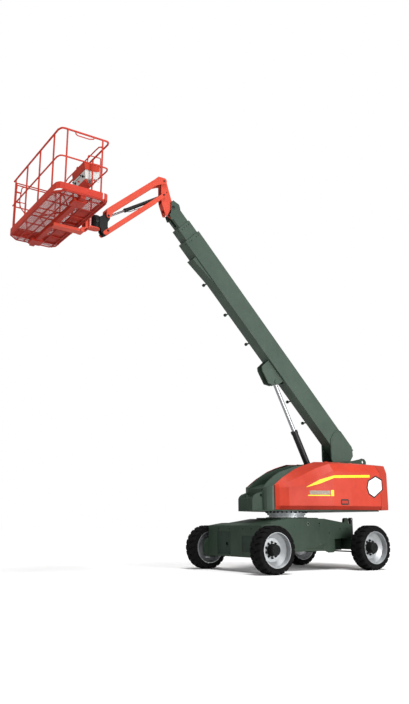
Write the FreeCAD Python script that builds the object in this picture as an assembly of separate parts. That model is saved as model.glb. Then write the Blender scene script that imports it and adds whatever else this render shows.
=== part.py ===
"""Telescopic boom lift: one STEP file per sub-component, in millimetres.

+X is the way the boom points, +Y the machine's left, +Z up.
The origin is on the ground under the slewing axis.
"""

import FreeCAD
import Part
import math
import os

Vector = FreeCAD.Vector

# ---- overall sizes -------------------------------------------------------
WHEELBASE = 2530.0
TRACK = 2183.0
TYRE_D = 870.0
TYRE_W = 308.0
RIM_R = 320.0
BOOM_ANGLE = 46.0
PIVOT_X = -1500.0
PIVOT_Z = 2050.0
BASE_FRONT = 6040.0
MID_OUT = 295.0
FLY_OUT = 530.0
JIB_ANGLE = -41.4
JIB_LEN = 1622.0
JIB_PITCH = 307.0
BASKET_LEN = 2540.0
BASKET_W = 965.0
BASKET_H = 1150.0

# ---- sections and fits ---------------------------------------------------
BASE_W = 270.0
BASE_DEPTH = 440.0
BASE_LOW = 152.0
BOOM_WALL = 8.0
SIDE_PAD = 12.0
MID_PAD_LOW = 48.0
MID_PAD_TOP = 24.0
FLY_PAD_LOW = 49.0
FLY_PAD_TOP = 7.0
PIN_GAP = 0.05
PIVOT_PIN_R = 45.0
LIFT_PIN_R = 40.0
JIB_PIN_R = 20.0
KINGPIN_R = 30.0
STUB_R = 60.0
LIFT_BARREL_R = 68.0
LIFT_ROD_R = 42.0
JIB_BARREL_R = 36.0
JIB_ROD_R = 20.0
SHEET = 6.0

# ---- derived positions ---------------------------------------------------
MID_W = BASE_W - 2 * (BOOM_WALL + SIDE_PAD)
MID_DEPTH = BASE_DEPTH - 2 * BOOM_WALL - MID_PAD_LOW - MID_PAD_TOP
MID_LOW = BASE_LOW + BOOM_WALL + MID_PAD_LOW
FLY_W = MID_W - 2 * (BOOM_WALL + SIDE_PAD)
FLY_DEPTH = MID_DEPTH - 2 * BOOM_WALL - FLY_PAD_LOW - FLY_PAD_TOP
FLY_LOW = MID_LOW + BOOM_WALL + FLY_PAD_LOW
AXLE_X = WHEELBASE / 2.0
WHEEL_Y = TRACK / 2.0
WHEEL_R = TYRE_D / 2.0
KING_Y = 800.0
TIE_ARM = (130.0, -40.0)
RAM_ARM = 130.0
TOWER_IN = 215.0
TOWER_OUT = 235.0
TABLE_Z = 1145.0
DECK_Z = 1170.0
HOOD_IN = 446.0
RING_R = 390.0
NOSE_U = BASE_FRONT + FLY_OUT + 165.0
NOSE_V = 444.0
LIFT_EYE_U = 2499.0
LIFT_EYE_V = -8.0
LIFT_BASE = (-950.0, 1500.0)
SWING_X_OFF = 225.0


def box(x0, x1, y0, y1, z0, z1):
    """Box between two corners."""
    return Part.makeBox(x1 - x0, y1 - y0, z1 - z0, Vector(x0, y0, z0))


def along_y(points, y0, y1):
    """Solid of an (x, z) outline between two y planes."""
    ring = [Vector(x, y0, z) for x, z in points]
    face = Part.Face(Part.makePolygon(ring + ring[:1]))
    return face.extrude(Vector(0, y1 - y0, 0))


def along_z(points, z0, z1):
    """Solid of an (x, y) outline between two z planes."""
    ring = [Vector(x, y, z0) for x, y in points]
    face = Part.Face(Part.makePolygon(ring + ring[:1]))
    return face.extrude(Vector(0, 0, z1 - z0))


def along_x(points, x0, x1):
    """Solid of a (y, z) outline between two x planes."""
    ring = [Vector(x0, y, z) for y, z in points]
    face = Part.Face(Part.makePolygon(ring + ring[:1]))
    return face.extrude(Vector(x1 - x0, 0, 0))


def rod(p0, p1, r):
    """Round bar between two points."""
    a = Vector(*p0)
    d = Vector(*p1) - a
    return Part.makeCylinder(r, d.Length, a, d)


def rod_y(x, z, r, y0, y1):
    """Round bar across the machine."""
    return rod((x, y0, z), (x, y1, z), r)


def tube_run(points, r):
    """Bent round tube through a list of points."""
    parts = []
    for a, b in zip(points, points[1:]):
        parts.append(rod(a, b, r))
    for p in points[1:-1]:
        parts.append(Part.makeSphere(r, Vector(*p)))
    return join(parts)


def join(parts):
    """Union of a list of solids."""
    shape = parts[0]
    if len(parts) > 1:
        shape = shape.fuse(parts[1:])
    return shape.removeSplitter()


def cut(shape, tools):
    """Shape with every tool taken away."""
    return shape.cut(tools).removeSplitter()


def flip(shape):
    """Mirror image in the machine's centre plane."""
    return shape.mirror(Vector(0, 0, 0), Vector(0, 1, 0))


def both(shape):
    """A solid and its mirror image, for use as tools."""
    return [shape, flip(shape)]


def revolve_y(profile, x, y, z, side):
    """Solid turned about a y axis from (radius, width) points."""
    ring = [Vector(x + r, y + side * w, z) for r, w in profile]
    face = Part.Face(Part.makePolygon(ring + ring[:1]))
    return face.revolve(Vector(x, y, z), Vector(0, 1, 0), 360)


def turned(shape, angle, x, z):
    """Shape drawn flat at the origin, raised by angle and put at (x, z)."""
    out = shape.copy()
    out.rotate(Vector(0, 0, 0), Vector(0, 1, 0), -angle)
    out.translate(Vector(x, 0, z))
    return out


def boom_place(shape):
    """From the boom's own frame to its parked pose."""
    return turned(shape, BOOM_ANGLE, PIVOT_X, PIVOT_Z)


def boom_point(u, v):
    """World (x, z) of a point of the boom's own frame."""
    a = math.radians(BOOM_ANGLE)
    x = PIVOT_X + u * math.cos(a) - v * math.sin(a)
    z = PIVOT_Z + u * math.sin(a) + v * math.cos(a)
    return x, z


NOSE = boom_point(NOSE_U, NOSE_V)
LIFT_EYE = boom_point(LIFT_EYE_U, LIFT_EYE_V)
JIB_TOP = (NOSE[0] + 231.0, NOSE[1] + 516.0)
JIB_MID = (JIB_TOP[0], JIB_TOP[1] - JIB_PITCH)
LEVEL_PIN = (NOSE[0] + 159.0, NOSE[1] - 150.0)
ARM_DX = JIB_LEN * math.cos(math.radians(JIB_ANGLE))
ARM_DZ = JIB_LEN * math.sin(math.radians(JIB_ANGLE))
OUT_TOP = (JIB_TOP[0] + ARM_DX, JIB_TOP[1] + ARM_DZ)
OUT_LOW = (JIB_MID[0] + ARM_DX, JIB_MID[1] + ARM_DZ)
SWING_X = OUT_TOP[0] + SWING_X_OFF
FLOOR_Z = OUT_TOP[1] - 296.0
BASKET_X0 = SWING_X + 318.0
BASKET_X1 = BASKET_X0 + BASKET_W
RAIL_TOP = FLOOR_Z + BASKET_H

# ---- chassis -------------------------------------------------------------
SIDE_Y = 620.0
SLEW_HALF = 470.0
REAR = -AXLE_X
CENTRE_SIDE = [
    (AXLE_X - 265, 370),
    (AXLE_X - 265, 925),
    (SLEW_HALF, 1000),
    (-SLEW_HALF, 1000),
    (REAR + 35, 895),
    (REAR + 35, 620),
    (REAR + 525, 600),
    (REAR + 525, 365),
    (REAR + 575, 335),
    (REAR + 705, 335),
    (REAR + 795, 370),
]


def chassis_frame():
    """Centre box with its top plate, lower tunnel and oscillation towers."""
    wall = SIDE_Y - 12
    body = along_y(CENTRE_SIDE, -SIDE_Y, SIDE_Y)
    fx, mx, rx = AXLE_X - 280, REAR + 545, REAR + 47
    front = [(fx, 300), (fx, 913), (SLEW_HALF, 986), (-SLEW_HALF, 986), (mx, 950), (mx, 300)]
    rear = [(mx - 15, 580), (mx - 15, 946), (rx, 880), (rx, 580)]
    parts = [body.cut([along_y(front, -wall, wall), along_y(rear, -wall, wall)])]
    parts.append(box(-475, 475, -400, 400, 1000, 1020))
    parts.append(box(REAR + 585, REAR + 745, -400, 400, 965, 1003))
    parts.append(box(REAR + 185, REAR + 537, -450, 450, 375, 400))
    parts.append(box(REAR + 185, REAR + 197, -450, 450, 375, 640))
    tower = [
        (REAR + 135, 700),
        (REAR + 135, 880),
        (REAR + 115, 1000),
        (REAR + 85, 1020),
        (REAR + 30, 1020),
        (REAR + 9, 1000),
        (REAR + 9, 640),
        (REAR + 47, 620),
    ]
    for s in (-1, 1):
        y0, y1 = sorted((s * 438, s * 450))
        parts.append(box(REAR + 185, REAR + 537, y0, y1, 375, 640))
        y0, y1 = sorted((s * 440, s * 505))
        parts.append(along_y(tower, y0, y1))
    parts.append(box(REAR + 82, REAR + 197, -120, 120, 420, 640))
    shape = join(parts)
    holes = []
    for x, z, r in ((-30, 900, 22), (-330, 905, 14)):
        holes += both(rod_y(x, z, r, SIDE_Y - 13, SIDE_Y + 1))
    return cut(shape, holes)


def chassis_drive_end():
    """Wide cross box over the fixed drive axle, with the wheel motor plates."""
    xf, xm, xr = AXLE_X + 85, AXLE_X - 235, AXLE_X - 263
    plan = [(xf, 880), (xm, 880), (xr, 625), (xr, -625), (xm, -880), (xf, -880)]
    side = [(xf, 280), (xf, 870), (xr, 922), (xr, 300)]
    hollow = [(xf - 14, 866), (xm + 12, 866), (xr + 14, 612), (xr + 14, -612)]
    hollow += [(xm + 12, -866), (xf - 14, -866)]
    body = along_z(plan, 250, 960).common(along_y(side, -900, 900))
    shape = join([body.cut(along_z(hollow, 200, 840))])
    tools = [box(xf - 6, xf + 10, 262, 610, 375, 680), box(xf - 6, xf + 10, -565, -110, 320, 760)]
    tools.append(rod((xf - 20, -235, 520), (xf + 10, -235, 520), 40))
    shape = cut(shape, tools)
    ends = []
    for s in (-1, 1):
        ends.append(rod_y(AXLE_X, WHEEL_R, 200, s * 866, s * 930))
        ends.append(rod_y(AXLE_X, WHEEL_R, 135, s * 929, s * 1010))
        ends.append(rod_y(AXLE_X, WHEEL_R, STUB_R, s * 1009, s * 1130))
    return join([shape] + ends)


def steer_axle():
    """Oscillating axle beam with kingpin forks."""
    parts = [box(-AXLE_X - 80, -AXLE_X + 80, -690, 690, 385, 560)]
    for s in (-1, 1):
        y0, y1 = sorted((s * 640, s * 690))
        parts.append(box(-AXLE_X - 40, -AXLE_X + 40, y0, y1, 290, 600))
        for z0, z1 in ((290, 320), (568, 600)):
            ya, yb = sorted((s * 650, s * KING_Y))
            parts.append(box(-AXLE_X - 55, -AXLE_X + 55, ya, yb, z0, z1))
            parts.append(rod((-AXLE_X, s * KING_Y, z0), (-AXLE_X, s * KING_Y, z1), 62))
        parts.append(rod((-AXLE_X, s * KING_Y, 300), (-AXLE_X, s * KING_Y, 590), KINGPIN_R))
    return join(parts)


def knuckle():
    """Left steering knuckle with wheel stub and two steering arms."""
    king = (-AXLE_X, KING_Y)
    parts = [rod((king[0], king[1], 325), (king[0], king[1], 563), 60)]
    parts.append(box(king[0] - 70, king[0] + 70, king[1], 935, 335, 535))
    parts.append(rod_y(-AXLE_X, WHEEL_R, 130, 930, 1000))
    parts.append(rod_y(-AXLE_X, WHEEL_R, STUB_R, 999, 1130))
    ball = (king[0] + TIE_ARM[0], king[1] + TIE_ARM[1])
    ram = (king[0] - RAM_ARM, king[1])
    left = (king[0], king[1] + 35)
    right = (king[0], king[1] - 35)
    arm = [left, (ball[0], ball[1] + 22), (ball[0], ball[1] - 22), right]
    parts.append(along_z(arm, 366, 380))
    parts.append(rod((ball[0], ball[1], 366), (ball[0], ball[1], 380), 22))
    arm = [left, (ram[0], ram[1] + 22), (ram[0], ram[1] - 22), right]
    parts.append(along_z(arm, 470, 490))
    parts.append(rod((ram[0], ram[1], 470), (ram[0], ram[1], 490), 22))
    shape = join(parts)
    bore = rod((king[0], king[1], 250), (king[0], king[1], 700), KINGPIN_R + PIN_GAP)
    return cut(shape, [bore])


def tie_rod():
    """Track rod under the two forward steering arms."""
    x = -AXLE_X + TIE_ARM[0]
    y = KING_Y + TIE_ARM[1]
    parts = [rod((x, -y, 348), (x, y, 348), 14)]
    for s in (-1, 1):
        parts.append(rod((x, s * y, 332), (x, s * y, 364), 24))
    return join(parts)


def steer_cylinder():
    """Double-ended steering cylinder body on the outer face of the axle."""
    x = -AXLE_X - RAM_ARM
    parts = [rod((x, -260, 448), (x, 260, 448), 42)]
    for s in (-1, 1):
        y0, y1 = sorted((s * 150, s * 190))
        parts.append(box(x - 30, -AXLE_X - 80, y0, y1, 420, 476))
    return cut(join(parts), [rod((x, -300, 448), (x, 300, 448), 16 + PIN_GAP)])


def steer_rod():
    """Rod of the steering cylinder with its two end eyes."""
    x = -AXLE_X - RAM_ARM
    parts = [rod((x, -KING_Y, 448), (x, KING_Y, 448), 16)]
    for s in (-1, 1):
        parts.append(rod((x, s * KING_Y, 430), (x, s * KING_Y, 464), 24))
    return join(parts)


def oscillation_cylinder():
    """Left lock-out cylinder between tower and axle."""
    x = -AXLE_X - 37
    y = 524
    parts = [rod((x, y, 640), (x, y, 985), 44)]
    parts.append(rod((x, y, 585), (x, y, 640), 24))
    parts.append(rod_y(x, 590, 30, y - 30, y + 30))
    parts.append(box(x - 30, x + 30, y - 40, y + 40, 560, 580))
    parts.append(rod_y(x, 990, 34, y - 36, y + 36))
    return join(parts)


def slew_ring_lower():
    """Fixed ring of the slewing bearing."""
    ring = rod((0, 0, 1020), (0, 0, 1072), RING_R - 30)
    return cut(ring, [rod((0, 0, 1000), (0, 0, 1100), RING_R - 90)])


def slew_ring_upper():
    """Turning ring of the slewing bearing, with a spigot in the fixed one."""
    ring = rod((0, 0, 1075), (0, 0, TABLE_Z), RING_R)
    spigot = rod((0, 0, 1040), (0, 0, 1076), RING_R - 90.3)
    return cut(join([ring, spigot]), [rod((0, 0, 1000), (0, 0, 1200), RING_R - 140)])


# ---- wheels --------------------------------------------------------------
def tyre(x, side):
    """Solid-shouldered tyre without its tread blocks."""
    w = TYRE_W / 2.0
    r = WHEEL_R
    profile = [
        (RIM_R, -w + 26),
        (RIM_R + 25, -w + 14),
        (RIM_R + 60, -w + 2),
        (r - 25, -w),
        (r - 6, -w + 18),
        (r, -w + 42),
        (r, w - 42),
        (r - 6, w - 18),
        (r - 25, w),
        (RIM_R + 60, w - 2),
        (RIM_R + 25, w - 14),
        (RIM_R, w - 26),
    ]
    return revolve_y(profile, x, side * WHEEL_Y, WHEEL_R, side)


def wheel(x, side):
    """Deep-dish rim with the closed hub on its disc."""
    w = TYRE_W / 2.0
    profile = [
        (RIM_R + 18, -w + 4),
        (RIM_R + 18, -w + 13),
        (RIM_R, -w + 18),
        (RIM_R, w - 18),
        (RIM_R + 18, w - 13),
        (RIM_R + 18, w - 4),
        (RIM_R - 14, w - 4),
        (RIM_R - 18, 36),
        (212, -20),
        (100, -20),
        (100, 104),
        (92, 112),
        (0.0, 112),
        (0.0, 41),
        (STUB_R + PIN_GAP, 41),
        (STUB_R + PIN_GAP, -36),
        (218, -36),
        (RIM_R - 14, 18),
        (RIM_R - 14, -w + 4),
    ]
    return revolve_y(profile, x, side * WHEEL_Y, WHEEL_R, side)


# ---- turntable -----------------------------------------------------------
TOWER = [
    (1060, DECK_Z),
    (1060, 1385),
    (1035, 1435),
    (980, 1475),
    (800, 1535),
    (755, 1640),
    (670, 1729),
    (500, 1850),
    (360, 1929),
    (-60, 2060),
    (-480, 2134),
    (-850, 2180),
    (-1300, 2215),
    (-1750, 2255),
    (-1970, 2300),
    (-2030, 2320),
    (-2110, 2310),
    (-2160, 2258),
    (-2160, 2000),
    (-2080, 1900),
    (-1900, 1650),
    (-1640, 1640),
    (-1640, DECK_Z),
]
# x, crest height, (y, z) of the upper bend, (y, z) of the lower bend
HOOD_STATIONS = [
    (660, 1660, (456, 1650), (462, 1595)),
    (600, 1705, (500, 1666), (520, 1592)),
    (440, 1814, (575, 1700), (628, 1611)),
    (135, 1981, (700, 1855), (764, 1643)),
    (-109, 2072, (795, 1982), (879, 1811)),
    (-401, 2154, (896, 2089), (1012, 1937)),
    (-850, 2172, (930, 2100), (1050, 1932)),
    (-1645, 2172, (965, 2097), (1097, 1924)),
]


def turntable_base():
    """Deck plate with the front cross box, front panel and slew lock housing."""
    half = [(1060, 235), (700, 430), (560, 520), (-380, 940), (-1640, 1020)]
    plan = half + [(x, -y) for x, y in reversed(half)]
    parts = [along_z(plan, TABLE_Z, DECK_Z)]
    parts.append(box(1040, 1060, -TOWER_IN, TOWER_IN, DECK_Z, 1394))
    lid = [(1060, 1385), (1060, 1397), (800, 1437), (800, 1425)]
    parts.append(along_y(lid, -TOWER_IN, TOWER_IN))
    panel = [(812, 1425), (812, 1590), (500, 1692), (500, 1684), (804, 1584), (804, 1425)]
    parts.append(along_y(panel, -TOWER_IN, TOWER_IN))
    parts.append(rod((720, 300, 1075), (720, 300, TABLE_Z), 22))
    shape = join(parts)
    return cut(shape, [rod((0, 0, 1100), (0, 0, 1200), 240)])


def tower():
    """Left boom tower plate with lifting eyes and the two pivot seats."""
    plate = along_y(TOWER, TOWER_IN, TOWER_OUT)
    parts = [plate]
    parts.append(rod_y(PIVOT_X, PIVOT_Z, 95, TOWER_IN, TOWER_OUT + 18))
    parts.append(rod_y(LIFT_BASE[0], LIFT_BASE[1], 90, TOWER_IN - 60, TOWER_OUT + 12))
    shape = join(parts)
    holes = [rod_y(840, 1450, 32, 200, 260), rod_y(-2060, 2240, 32, 200, 260)]
    holes.append(rod_y(PIVOT_X, PIVOT_Z, PIVOT_PIN_R, 200, 300))
    holes.append(rod_y(LIFT_BASE[0], LIFT_BASE[1], LIFT_PIN_R, 100, 300))
    return cut(shape, holes)


def boom_pin():
    """Main boom pin, held in the towers."""
    return rod_y(PIVOT_X, PIVOT_Z, PIVOT_PIN_R, -TOWER_OUT - 18, TOWER_OUT + 18)


def lift_pin():
    """Lift cylinder base pin, held in the towers."""
    return rod_y(LIFT_BASE[0], LIFT_BASE[1], LIFT_PIN_R, -TOWER_OUT - 12, TOWER_OUT + 12)


def front_cover():
    """Left curved cover at the hood's front edge, with the sloping deck sheet."""
    outer = [(800, 236), (796, 290), (780, 345), (748, 392), (708, 425), (668, 440)]
    inner = [(668, 433), (705, 418), (743, 387), (773, 342), (789, 288), (793, 236)]
    wall = along_z(outer + inner, DECK_Z, 1800)
    low = DECK_Z - 10
    slope = [(900, low), (900, 1578), (800, 1604), (690, 1650), (650, 1656), (650, low)]
    wall = wall.common(along_y(slope, 200, 500))
    near = [(799, 1609), (755, 1637), (670, 1726), (500, 1847)]
    near += [(360, 1926), (-60, 2057), (-480, 2131), (-850, 2176)]
    far = [(700, 1644), (660, 1648), (560, 1708), (440, 1782)]
    far += [(224, 1902), (-60, 2020), (-464, 2140), (-850, 2162)]
    return join([wall, ruled_sheet(near, far, 237, 440)])


def ruled_sheet(near, far, y0, y1):
    """Sheet between two (x, z) lines on two y planes, SHEET thick downwards."""
    wires = []
    for line, y in ((near, y0), (far, y1)):
        low = [(x, z - SHEET) for x, z in reversed(line)]
        ring = [Vector(x, y, z) for x, z in line + low]
        wires.append(Part.makePolygon(ring + ring[:1]))
    return Part.makeLoft(wires, True, True)


def hood_section(x, station, inset, low):
    """Closed wire of the hood's cross section at one station."""
    crest, upper, lower = station[1:]
    side = lower[0] - inset
    points = [
        Vector(x, HOOD_IN - inset, low),
        Vector(x, HOOD_IN - inset, crest - inset),
        Vector(x, upper[0] - inset, upper[1] - inset),
        Vector(x, side, lower[1] - inset / 2),
        Vector(x, side, 1250),
        Vector(x, max(side - 45, HOOD_IN - inset + 4), low),
    ]
    return Part.makePolygon(points + points[:1])


def hood_left():
    """Left hood shell, open below and towards the tower."""
    outer = []
    inner = []
    last = len(HOOD_STATIONS) - 1
    for i, station in enumerate(HOOD_STATIONS):
        x = station[0]
        outer.append(hood_section(x, station, 0.0, DECK_Z + 5))
        if i == 0:
            x -= SHEET
        if i == last:
            x -= 10.0
        inner.append(hood_section(x, station, SHEET, DECK_Z))
    shell = Part.makeLoft(outer, True, True)
    core = Part.makeLoft(inner, True, True)
    parts = [cut(shell, [core])]
    for x in (-1500, -1150, -800):
        parts.append(box(x, x + 90, HOOD_IN + 1, HOOD_IN + 9, 2150, HINGE_Z))
        parts.append(rod((x, HOOD_IN, HINGE_Z), (x + 90, HOOD_IN, HINGE_Z), 9))
    return join(parts)


HINGE_Z = 2168.0


TAIL_R = 2150.0


def counterweight():
    """Cast tail weight with the boom slot."""
    disc = rod((0, 0, DECK_Z + 5), (0, 0, 2200), TAIL_R)
    block = box(-2300, -1651, -1100, 1100, DECK_Z + 5, 2200)
    side = [
        (-1600, DECK_Z + 5),
        (-2095, DECK_Z + 5),
        (-2150, 1250),
        (-2120, 1900),
        (-2075, 2040),
        (-2000, 2105),
        (-1930, 2140),
        (-1651, 2172),
        (-1600, 2172),
    ]
    body = block.common(disc).common(along_y(side, -1200, 1200))
    half = [(1080, DECK_Z), (1098, 1250), (1098, 1924), (966, 2096), (446, 2172)]
    lean = half + [(-y, z) for y, z in reversed(half)]
    body = body.common(along_x(lean, -2300, -1600))
    slot = box(-2300, -1600, -TOWER_OUT - 6, TOWER_OUT + 6, 1630, 2300)
    return cut(body, [slot])


def engine_block():
    """Engine and pump as one plain block under the right hood."""
    return box(-1450, -350, -830, -290, DECK_Z, 1780)


def tank_block():
    """Fuel and oil tanks as one plain block under the left hood."""
    shell = box(-1450, -500, 290, 820, DECK_Z, 1700)
    return cut(shell, [box(-1444, -506, 296, 814, DECK_Z + 6, 1720)])


# ---- main boom -----------------------------------------------------------
def boom_tube(u0, u1, width, low, depth, wall):
    """Rectangular tube along the boom, open at both ends."""
    outer = box(u0, u1, -width / 2, width / 2, low, low + depth)
    inner = width / 2 - wall
    hole = box(u0 - 10, u1 + 10, -inner, inner, low + wall, low + depth - wall)
    return outer.cut(hole)


def boom_base():
    """Base section with foot, cylinder ears, belly and hose guides."""
    top = BASE_LOW + BASE_DEPTH
    half = BASE_W / 2
    parts = [boom_tube(60, BASE_FRONT, BASE_W, BASE_LOW, BASE_DEPTH, BOOM_WALL)]
    foot = [
        (600, 155),
        (365, -72),
        (130, -118),
        (40, -128),
        (-60, -112),
        (-128, -40),
        (-130, 40),
        (-60, 250),
        (-31, 342),
        (-9, 471),
        (147, top),
        (620, top),
        (700, 520),
        (720, 400),
        (690, 250),
    ]
    for s in (-1, 1):
        y0, y1 = sorted((s * (half - 4), s * (half + 22)))
        parts.append(along_y(foot, y0, y1))
        y0, y1 = sorted((s * 62, s * 88))
        parts.append(along_y(EARS, y0, y1))
        y0, y1 = sorted((s * 87, s * 104))
        parts.append(rod_y(LIFT_EYE_U, LIFT_EYE_V, 58, y0, y1))
    belly = [
        (BASE_FRONT - 375, 160),
        (BASE_FRONT - 375, 62),
        (BASE_FRONT - 935, 126),
        (BASE_FRONT - 1160, 160),
    ]
    parts.append(along_y(belly, -112, 112))
    for u in GUIDE_U:
        parts.append(rod((u, -half + 4, 182), (u, -290, 182), 16))
    shape = join(parts)
    bore = rod_y(0, 0, PIVOT_PIN_R + PIN_GAP, -300, 300)
    well = box(2345, 2720, -60, 60, BASE_LOW - 40, BASE_LOW + BOOM_WALL + 4)
    return boom_place(cut(shape, [bore, well]))


EARS = [
    (2400, 160),
    (2417, 60),
    (2495, -108),
    (2617, -201),
    (2918, -132),
    (2981, -83),
    (2975, 92),
    (2970, 160),
]
GUIDE_U = [1250.0, 1860.0, 3470.0, 4260.0, 5050.0]


def boom_mid():
    """Middle section."""
    u1 = BASE_FRONT + MID_OUT
    tube = boom_tube(350, u1, MID_W, MID_LOW, MID_DEPTH, BOOM_WALL)
    collar = boom_tube(u1 - 14, u1, MID_W, MID_LOW, MID_DEPTH, 12.0)
    return boom_place(join([tube, collar]))


def boom_fly():
    """Inner section with the nose cheeks."""
    u1 = BASE_FRONT + FLY_OUT
    parts = [boom_tube(500, u1, FLY_W, FLY_LOW, FLY_DEPTH, BOOM_WALL)]
    cheek = [
        (u1 - 270, FLY_LOW),
        (u1 - 30, FLY_LOW),
        (u1 - 8, FLY_LOW - 45),
        (u1 + 106, 262),
        (u1 + 98, 303),
        (u1 + 277, 478),
        (u1 + 279, 546),
        (u1 + 137, 604),
        (u1 + 76, 576),
        (u1 + 30, FLY_LOW + FLY_DEPTH),
        (u1 - 270, FLY_LOW + FLY_DEPTH),
    ]
    for s in (-1, 1):
        y0, y1 = sorted((s * 76, s * FLY_W / 2))
        parts.append(along_y(cheek, y0, y1))
        y0, y1 = sorted((s * 94, s * 104))
        parts.append(rod_y(NOSE_U, NOSE_V, 34, y0, y1))
    parts.append(rod_y(NOSE_U, NOSE_V, 24, -100, 100))
    shape = join(parts)
    slot = box(u1 - 190, u1 + 20, -34, 34, FLY_LOW - 20, FLY_LOW + 40)
    return boom_place(cut(shape, [slot]))


def cylinder_angle():
    """Parked slope of the lift cylinder, in degrees."""
    return math.degrees(math.atan2(LIFT_EYE[1] - LIFT_BASE[1], LIFT_EYE[0] - LIFT_BASE[0]))


def lift_length():
    """Parked pin distance of the lift cylinder."""
    return math.hypot(LIFT_EYE[1] - LIFT_BASE[1], LIFT_EYE[0] - LIFT_BASE[0])


def lift_barrel():
    """Lift cylinder body with its base eye and gland."""
    parts = [rod((0, 0, 0), (1500, 0, 0), LIFT_BARREL_R)]
    parts.append(rod((1440, 0, 0), (1500, 0, 0), LIFT_BARREL_R + 8))
    parts.append(rod_y(0, 0, 78, -70, 70))
    shape = join(parts)
    tools = [rod((160, 0, 0), (1600, 0, 0), LIFT_ROD_R + PIN_GAP)]
    tools.append(rod_y(0, 0, LIFT_PIN_R + PIN_GAP, -100, 100))
    return turned(cut(shape, tools), cylinder_angle(), LIFT_BASE[0], LIFT_BASE[1])


def lift_rod():
    """Chrome rod of the lift cylinder with its end eye."""
    length = lift_length()
    parts = [rod((900, 0, 0), (length - 20, 0, 0), LIFT_ROD_R)]
    parts.append(rod_y(length, 0, 56, -50, 50))
    return turned(join(parts), cylinder_angle(), LIFT_BASE[0], LIFT_BASE[1])


# ---- jib -----------------------------------------------------------------
def jib_bracket():
    """Levelling bracket between boom nose and jib arms."""
    nx, nz = NOSE
    tx, tz = JIB_TOP
    outline = [
        (tx - 62, tz + 52),
        (tx + 36, tz + 56),
        (tx + 50, tz + 10),
        (tx + 45, tz - 250),
        (tx + 48, tz - 340),
        (tx + 28, tz - 480),
        (tx - 66, tz - 722),
        (tx - 92, tz - 722),
        (nx + 118, nz - 200),
        (nx + 60, nz - 60),
        (nx - 40, nz - 20),
        (nx - 44, nz + 30),
        (nx + 10, nz + 110),
        (nx + 36, nz + 160),
    ]
    parts = []
    for s in (-1, 1):
        y0, y1 = sorted((s * 48, s * 66))
        parts.append(along_y(outline, y0, y1))
    spine = [(tx - 22, tz - 610), (tx + 28, tz - 480), (tx + 14, tz - 480), (tx - 36, tz - 610)]
    parts.append(along_y(spine, -50, 50))
    back = [(nx + 48, nz + 165), (tx - 50, tz + 40), (tx - 38, tz + 35), (nx + 60, nz + 160)]
    parts.append(along_y(back, -50, 50))
    for (x, z) in (JIB_TOP, JIB_MID):
        parts.append(rod_y(x, z, JIB_PIN_R, -110, 110))
    parts.append(rod_y(LEVEL_PIN[0], LEVEL_PIN[1], 14, -70, 70))
    shape = join(parts)
    holes = [rod_y(nx, nz, 24 + PIN_GAP, -100, 100), rod_y(nx + 146, nz + 303, 14, -100, 100)]
    return cut(shape, holes)


def level_rod():
    """Levelling cylinder rod from the bracket's low pin into the fly section."""
    a = math.radians(BOOM_ANGLE)
    x, z = LEVEL_PIN
    du, dv = -358.0, 168.0
    end = (x + du * math.cos(a) - dv * math.sin(a), z + du * math.sin(a) + dv * math.cos(a))
    parts = [rod((x, 0, z), (end[0], 0, end[1]), 13)]
    parts.append(rod_y(x, z, 26, -18, 18))
    return cut(join(parts), [rod_y(x, z, 14 + PIN_GAP, -60, 60)])


def arm_place(shape, pin):
    """From the arm's own frame to its parked pose."""
    return turned(shape, JIB_ANGLE, pin[0], pin[1])


def jib_upper_arm():
    """Upper jib arm: box beam with forked ends."""
    n = JIB_LEN
    parts = [box(150, n - 150, -98, 98, 12, 130).cut(box(140, n - 140, -90, 90, 20, 122))]
    head = [(-72, 0), (-62, 38), (-10, 84), (56, 138), (200, 130)]
    head += [(240, 12), (120, -18), (50, -52), (0, -62), (-52, -46)]
    tail = [(n - 240, 12), (n - 240, 130), (n - 66, 128), (n - 10, 66), (n + 26, 30)]
    tail += [(n + 40, 0), (n + 28, -30), (n + 2, -43), (n - 40, -40), (n - 110, -8)]
    for s in (-1, 1):
        y0, y1 = sorted((s * 80, s * 98))
        parts.append(along_y(head, y0, y1))
        parts.append(along_y(tail, y0, y1))
    cap = [(20, 100), (56, 138), (200, 130), (200, 118), (62, 122), (30, 92)]
    parts.append(along_y(cap, -90, 90))
    cap = [(n - 160, 130), (n - 66, 128), (n - 30, 88), (n - 39, 80), (n - 72, 116), (n - 160, 118)]
    parts.append(along_y(cap, -90, 90))
    shape = join(parts)
    holes = [rod_y(0, 0, JIB_PIN_R + PIN_GAP, -200, 200)]
    holes.append(rod_y(n, 0, JIB_PIN_R + PIN_GAP, -200, 200))
    holes.append(box(n - 760, n - 100, -50, 50, 0, 24))
    return arm_place(cut(shape, holes), JIB_TOP)


def jib_lower_arm():
    """Lower jib arm: two side bars with a web below."""
    n = JIB_LEN
    bar = [(-45, 20), (-30, 36), (0, 44), (60, 38), (n, 36), (n + 84, 36), (n + 108, 24)]
    bar += [(n + 112, -18), (n + 92, -42), (n, -56), (180, -54), (60, -46), (0, -46), (-36, -30)]
    parts = []
    for s in (-1, 1):
        y0, y1 = sorted((s * 80, s * 98))
        parts.append(along_y(bar, y0, y1))
    parts.append(box(260, n - 230, -84, 84, -54, -44))
    shape = join(parts)
    holes = [rod_y(0, 0, JIB_PIN_R + PIN_GAP, -200, 200)]
    holes.append(rod_y(n, 0, JIB_PIN_R + PIN_GAP, -200, 200))
    return arm_place(cut(shape, holes), JIB_MID)


def jib_cylinder_angle():
    """Parked slope of the jib cylinder, in degrees."""
    return math.degrees(math.atan2(OUT_TOP[1] - JIB_MID[1], OUT_TOP[0] - JIB_MID[0]))


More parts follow.
